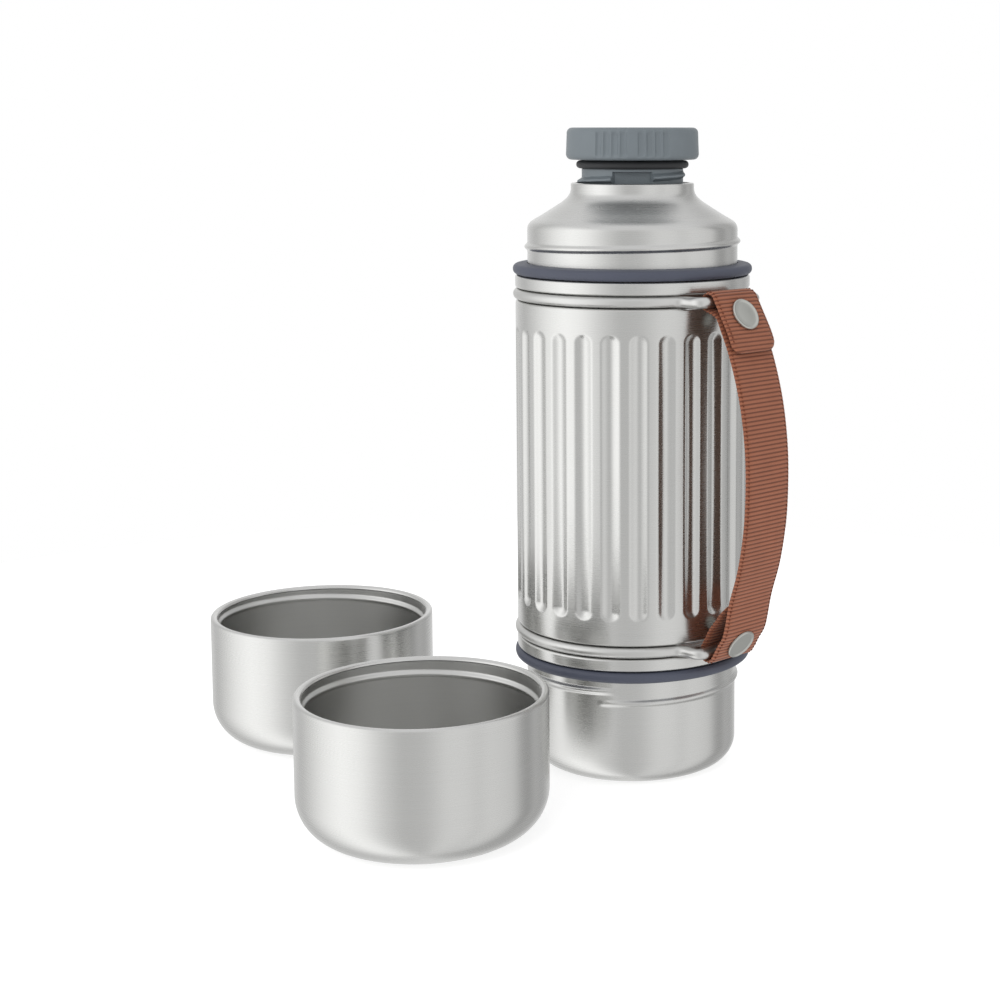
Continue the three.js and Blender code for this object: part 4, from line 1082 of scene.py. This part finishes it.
class CANTEEN_OT_inside(bpy.types.Operator):
    """Finish the inner flask, and the pieces that keep their CAD shape"""

    bl_idname = "canteen.inside"
    bl_label = "Inner pieces"

    def execute(self, context):
        self.make_mouth()
        finishes = {"flask_body": "bottle_steel", "getter_pellet": "nickel", "stopper_core": "foam"}
        for place in ("upper", "lower"):
            for part in ("socket", "stud", "post"):
                finishes[f"{place}_snap_{part}"] = "nickel"
        for node, surface in finishes.items():
            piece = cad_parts[node]
            if not piece.material_slots:
                piece.data.materials.append(None)
            for place in piece.material_slots:
                place.material = finish(surface)
        return {"FINISHED"}

    def make_mouth(self):
        low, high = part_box("flask_neck")
        flask = high.x
        knee = RIM - 14 * MM
        line = [(flask, low.z), (flask, RIM - 21.7 * MM), (flask - 2.5 * MM, RIM - 18.7 * MM)]
        line += [(MOUTH_RADIUS + 1.8 * MM, knee), (MOUTH_RADIUS + WALL, knee + 1.4 * MM)]
        line += [(MOUTH_RADIUS + WALL, high.z), (MOUTH_RADIUS, high.z)]
        line += level(MOUTH_RADIUS, high.z - 0.3 * MM, knee + 0.6 * MM, 0.35 * MM)
        line += [(MOUTH_RADIUS + 1 * MM, knee - 0.9 * MM), (flask - 3.2 * MM, RIM - 19.5 * MM)]
        line += [(flask - WALL, RIM - 22.3 * MM), (flask - WALL, low.z)]

        thread_low, pitch, half_width, rise, run_out = RIM - 11.8 * MM, 6 * MM, 1.4 * MM, 1.7 * MM, 3

        def threaded(angle, r, z):
            if abs(r - MOUTH_RADIUS) > 0.01 * MM or z > high.z - 0.2 * MM:
                return r, z
            turn = angle % TURN
            off = abs(z - thread_low - pitch * turn / TURN) / half_width
            fade = min(1, turn * run_out, (TURN - turn) * run_out)
            return r - rise * max(0.0, 1 - off) * fade, z

        turned_piece("threaded_mouth", line, "canteen", "inner_steel", "bottle_steel", "flask_neck",
                     shape=threaded)


# ---- stage -------------------------------------------------------------------------------------

def studio_world(scene):
    """Soft boxes round the object as one world: bright walls with darker gaps between them."""
    world = bpy.data.worlds.new("studio")
    world.use_nodes = True
    tree = world.node_tree
    tree.nodes.clear()
    way = add(tree, PLACE)
    axes = add(tree, SEPARATE, {0: way})
    toward = add(tree, MATH, {0: axes.outputs[1], 1: -1.0}, operation="MULTIPLY")
    angle = add(tree, MATH, {0: axes, 1: toward}, operation="ARCTAN2")
    share = add(tree, RANGE, {"Value": angle, "From Min": -math.pi, "From Max": math.pi})
    walls = add(tree, "ShaderNodeValToRGB", {0: share})
    # Degrees round from the front, and how bright the wall is there.
    bands = ((-180, 1.0), (-152, 0.8), (-130, 0.66), (-112, 0.92), (-90, 1.3), (-70, 1.5), (-50, 1.35),
             (-30, 0.95), (-12, 0.7), (8, 0.74), (28, 0.98), (46, 0.96), (56, 0.86), (68, 0.95),
             (96, 0.86), (106, 0.5), (116, 0.42), (126, 0.62), (142, 0.5), (162, 0.75), (180, 1.0))
    brightest = 1.5
    ramp = walls.color_ramp
    while len(ramp.elements) > 1:
        ramp.elements.remove(ramp.elements[0])
    for i, (degrees, bright) in enumerate(bands):
        share_round = (degrees + 180) / 360
        element = ramp.elements[0] if i == 0 else ramp.elements.new(share_round)
        element.position = share_round
        element.color = (*[bright / brightest] * 3, 1)
    scaled = add(tree, VECTOR, {0: walls, "Scale": brightest}, operation="SCALE")
    # The ceiling is darker than the walls.
    ceiling = add(tree, RANGE, {"Value": axes.outputs[2], "From Min": 0.5, "From Max": 0.85},
                  interpolation_type="SMOOTHSTEP")
    mixed = add(tree, "ShaderNodeMix", {0: ceiling, 6: scaled, 7: (0.9, 0.9, 0.91, 1)},
                data_type="RGBA")
    lit = add(tree, "ShaderNodeBackground", {"Color": mixed.outputs[2], "Strength": 1.0})
    plain = add(tree, "ShaderNodeBackground", {"Color": (1, 1, 1, 1), "Strength": 1.0})
    path = add(tree, "ShaderNodeLightPath")
    both = add(tree, "ShaderNodeMixShader", {0: path.outputs["Is Camera Ray"], 1: lit, 2: plain})
    add(tree, "ShaderNodeOutputWorld", {0: both})
    scene.world = world


def soft_light(name, place, size, power, aim):
    """A square soft light at a place, aimed at a point."""
    data = bpy.data.lights.new(name, "AREA")
    data.shape = "SQUARE"
    data.size = size
    data.energy = power
    light = bpy.data.objects.new(name, data)
    light.location = place
    light.visible_glossy = False
    light.rotation_euler = (Vector(aim) - Vector(place)).to_track_quat("-Z", "Y").to_euler()
    bpy.context.scene.collection.objects.link(light)


def paper():
    """Matt white paper, which gives off some light as an evenly lit backdrop does."""
    material, tree = new_material("matt_white_paper")
    place = add(tree, PLACE)
    pulp = add(tree, NOISE, {"Vector": place.outputs["Object"], "Scale": 900.0})
    bump = add(tree, BUMP, {"Height": pulp, "Strength": 0.02, "Distance": 0.05 * MM})
    return surfaced(material, {
        "Base Color": (0.6, 0.6, 0.6, 1), "Roughness": 0.9, "Specular IOR Level": 0.1,
        "Normal": bump, "Emission Color": (1, 1, 1, 1), "Emission Strength": 0.66})


class CANTEEN_OT_stage(bpy.types.Operator):
    """Set the floor, the lights and the camera"""

    bl_idname = "canteen.stage"
    bl_label = "Stage"

    def execute(self, context):
        scene = context.scene
        studio_world(scene)
        scene.view_settings.view_transform = "Standard"
        self.make_floor(scene, (-0.05, -0.02), 0.5)
        soft_light("key", place=(-0.6, -1.5, 1.3), size=1.0, power=8, aim=(-0.04, -0.02, 0.1))
        data = bpy.data.cameras.new("camera")
        data.lens, data.sensor_width = 67.88, 36.0
        data.shift_x, data.shift_y = -0.1361, -0.1373
        camera = bpy.data.objects.new("camera", data)
        camera.location = (0.0015, -0.77, 0.2611)
        looks_down = 7.028
        camera.rotation_euler = (math.radians(90 - looks_down), 0, 0)
        scene.collection.objects.link(camera)
        scene.camera = camera
        return {"FINISHED"}

    def make_floor(self, scene, centre, radius):
        """A round floor, hidden from reflections, just below the bases."""
        drop, corners = 0.0002, 96
        ring = [(centre[0] + radius * math.cos(TURN * i / corners),
                 centre[1] + radius * math.sin(TURN * i / corners), -drop) for i in range(corners)]
        mesh = bpy.data.meshes.new("floor")
        mesh.from_pydata(ring, [], [list(range(corners))])
        mesh.materials.append(paper())
        floor = bpy.data.objects.new("floor", mesh)
        scene.collection.objects.link(floor)
        floor.visible_glossy = False


class CANTEEN_PT_panel(bpy.types.Panel):
    """Lists the canteen's pieces and settings"""

    bl_idname = "CANTEEN_PT_panel"
    bl_label = "Canteen"
    bl_space_type = "VIEW_3D"
    bl_region_type = "UI"
    bl_category = "Canteen"

    def draw(self, context):
        for group in (context.scene.canteen_sizes, context.scene.canteen_colours):
            for name in group.bl_rna.properties.keys():
                if name not in ("rna_type", "name"):
                    self.layout.prop(group, name)
        for operator in OPERATORS:
            self.layout.operator(operator.bl_idname)


OPERATORS = (CANTEEN_OT_materials, CANTEEN_OT_stage, CANTEEN_OT_fluted_body,
             CANTEEN_OT_shoulder_and_base, CANTEEN_OT_bands_and_gaskets, CANTEEN_OT_wire_rings,
             CANTEEN_OT_stopper, CANTEEN_OT_cups, CANTEEN_OT_strap, CANTEEN_OT_snaps, CANTEEN_OT_inside)
CLASSES = (CanteenSizes, CanteenColours, *OPERATORS, CANTEEN_PT_panel)


def register():
    for kind in CLASSES:
        bpy.utils.register_class(kind)
    bpy.types.Scene.canteen_sizes = bpy.props.PointerProperty(type=CanteenSizes)
    bpy.types.Scene.canteen_colours = bpy.props.PointerProperty(type=CanteenColours)


def unregister():
    del bpy.types.Scene.canteen_colours
    del bpy.types.Scene.canteen_sizes
    for kind in reversed(CLASSES):
        bpy.utils.unregister_class(kind)


def main():
    register()
    bpy.ops.canteen.materials()
    bpy.ops.canteen.stage()
    bpy.ops.canteen.fluted_body()
    bpy.ops.canteen.shoulder_and_base()
    bpy.ops.canteen.bands_and_gaskets()
    bpy.ops.canteen.wire_rings()
    bpy.ops.canteen.stopper()
    bpy.ops.canteen.cups()
    bpy.ops.canteen.strap()
    bpy.ops.canteen.snaps()
    bpy.ops.canteen.inside()


if __name__ == "__main__":
    main()
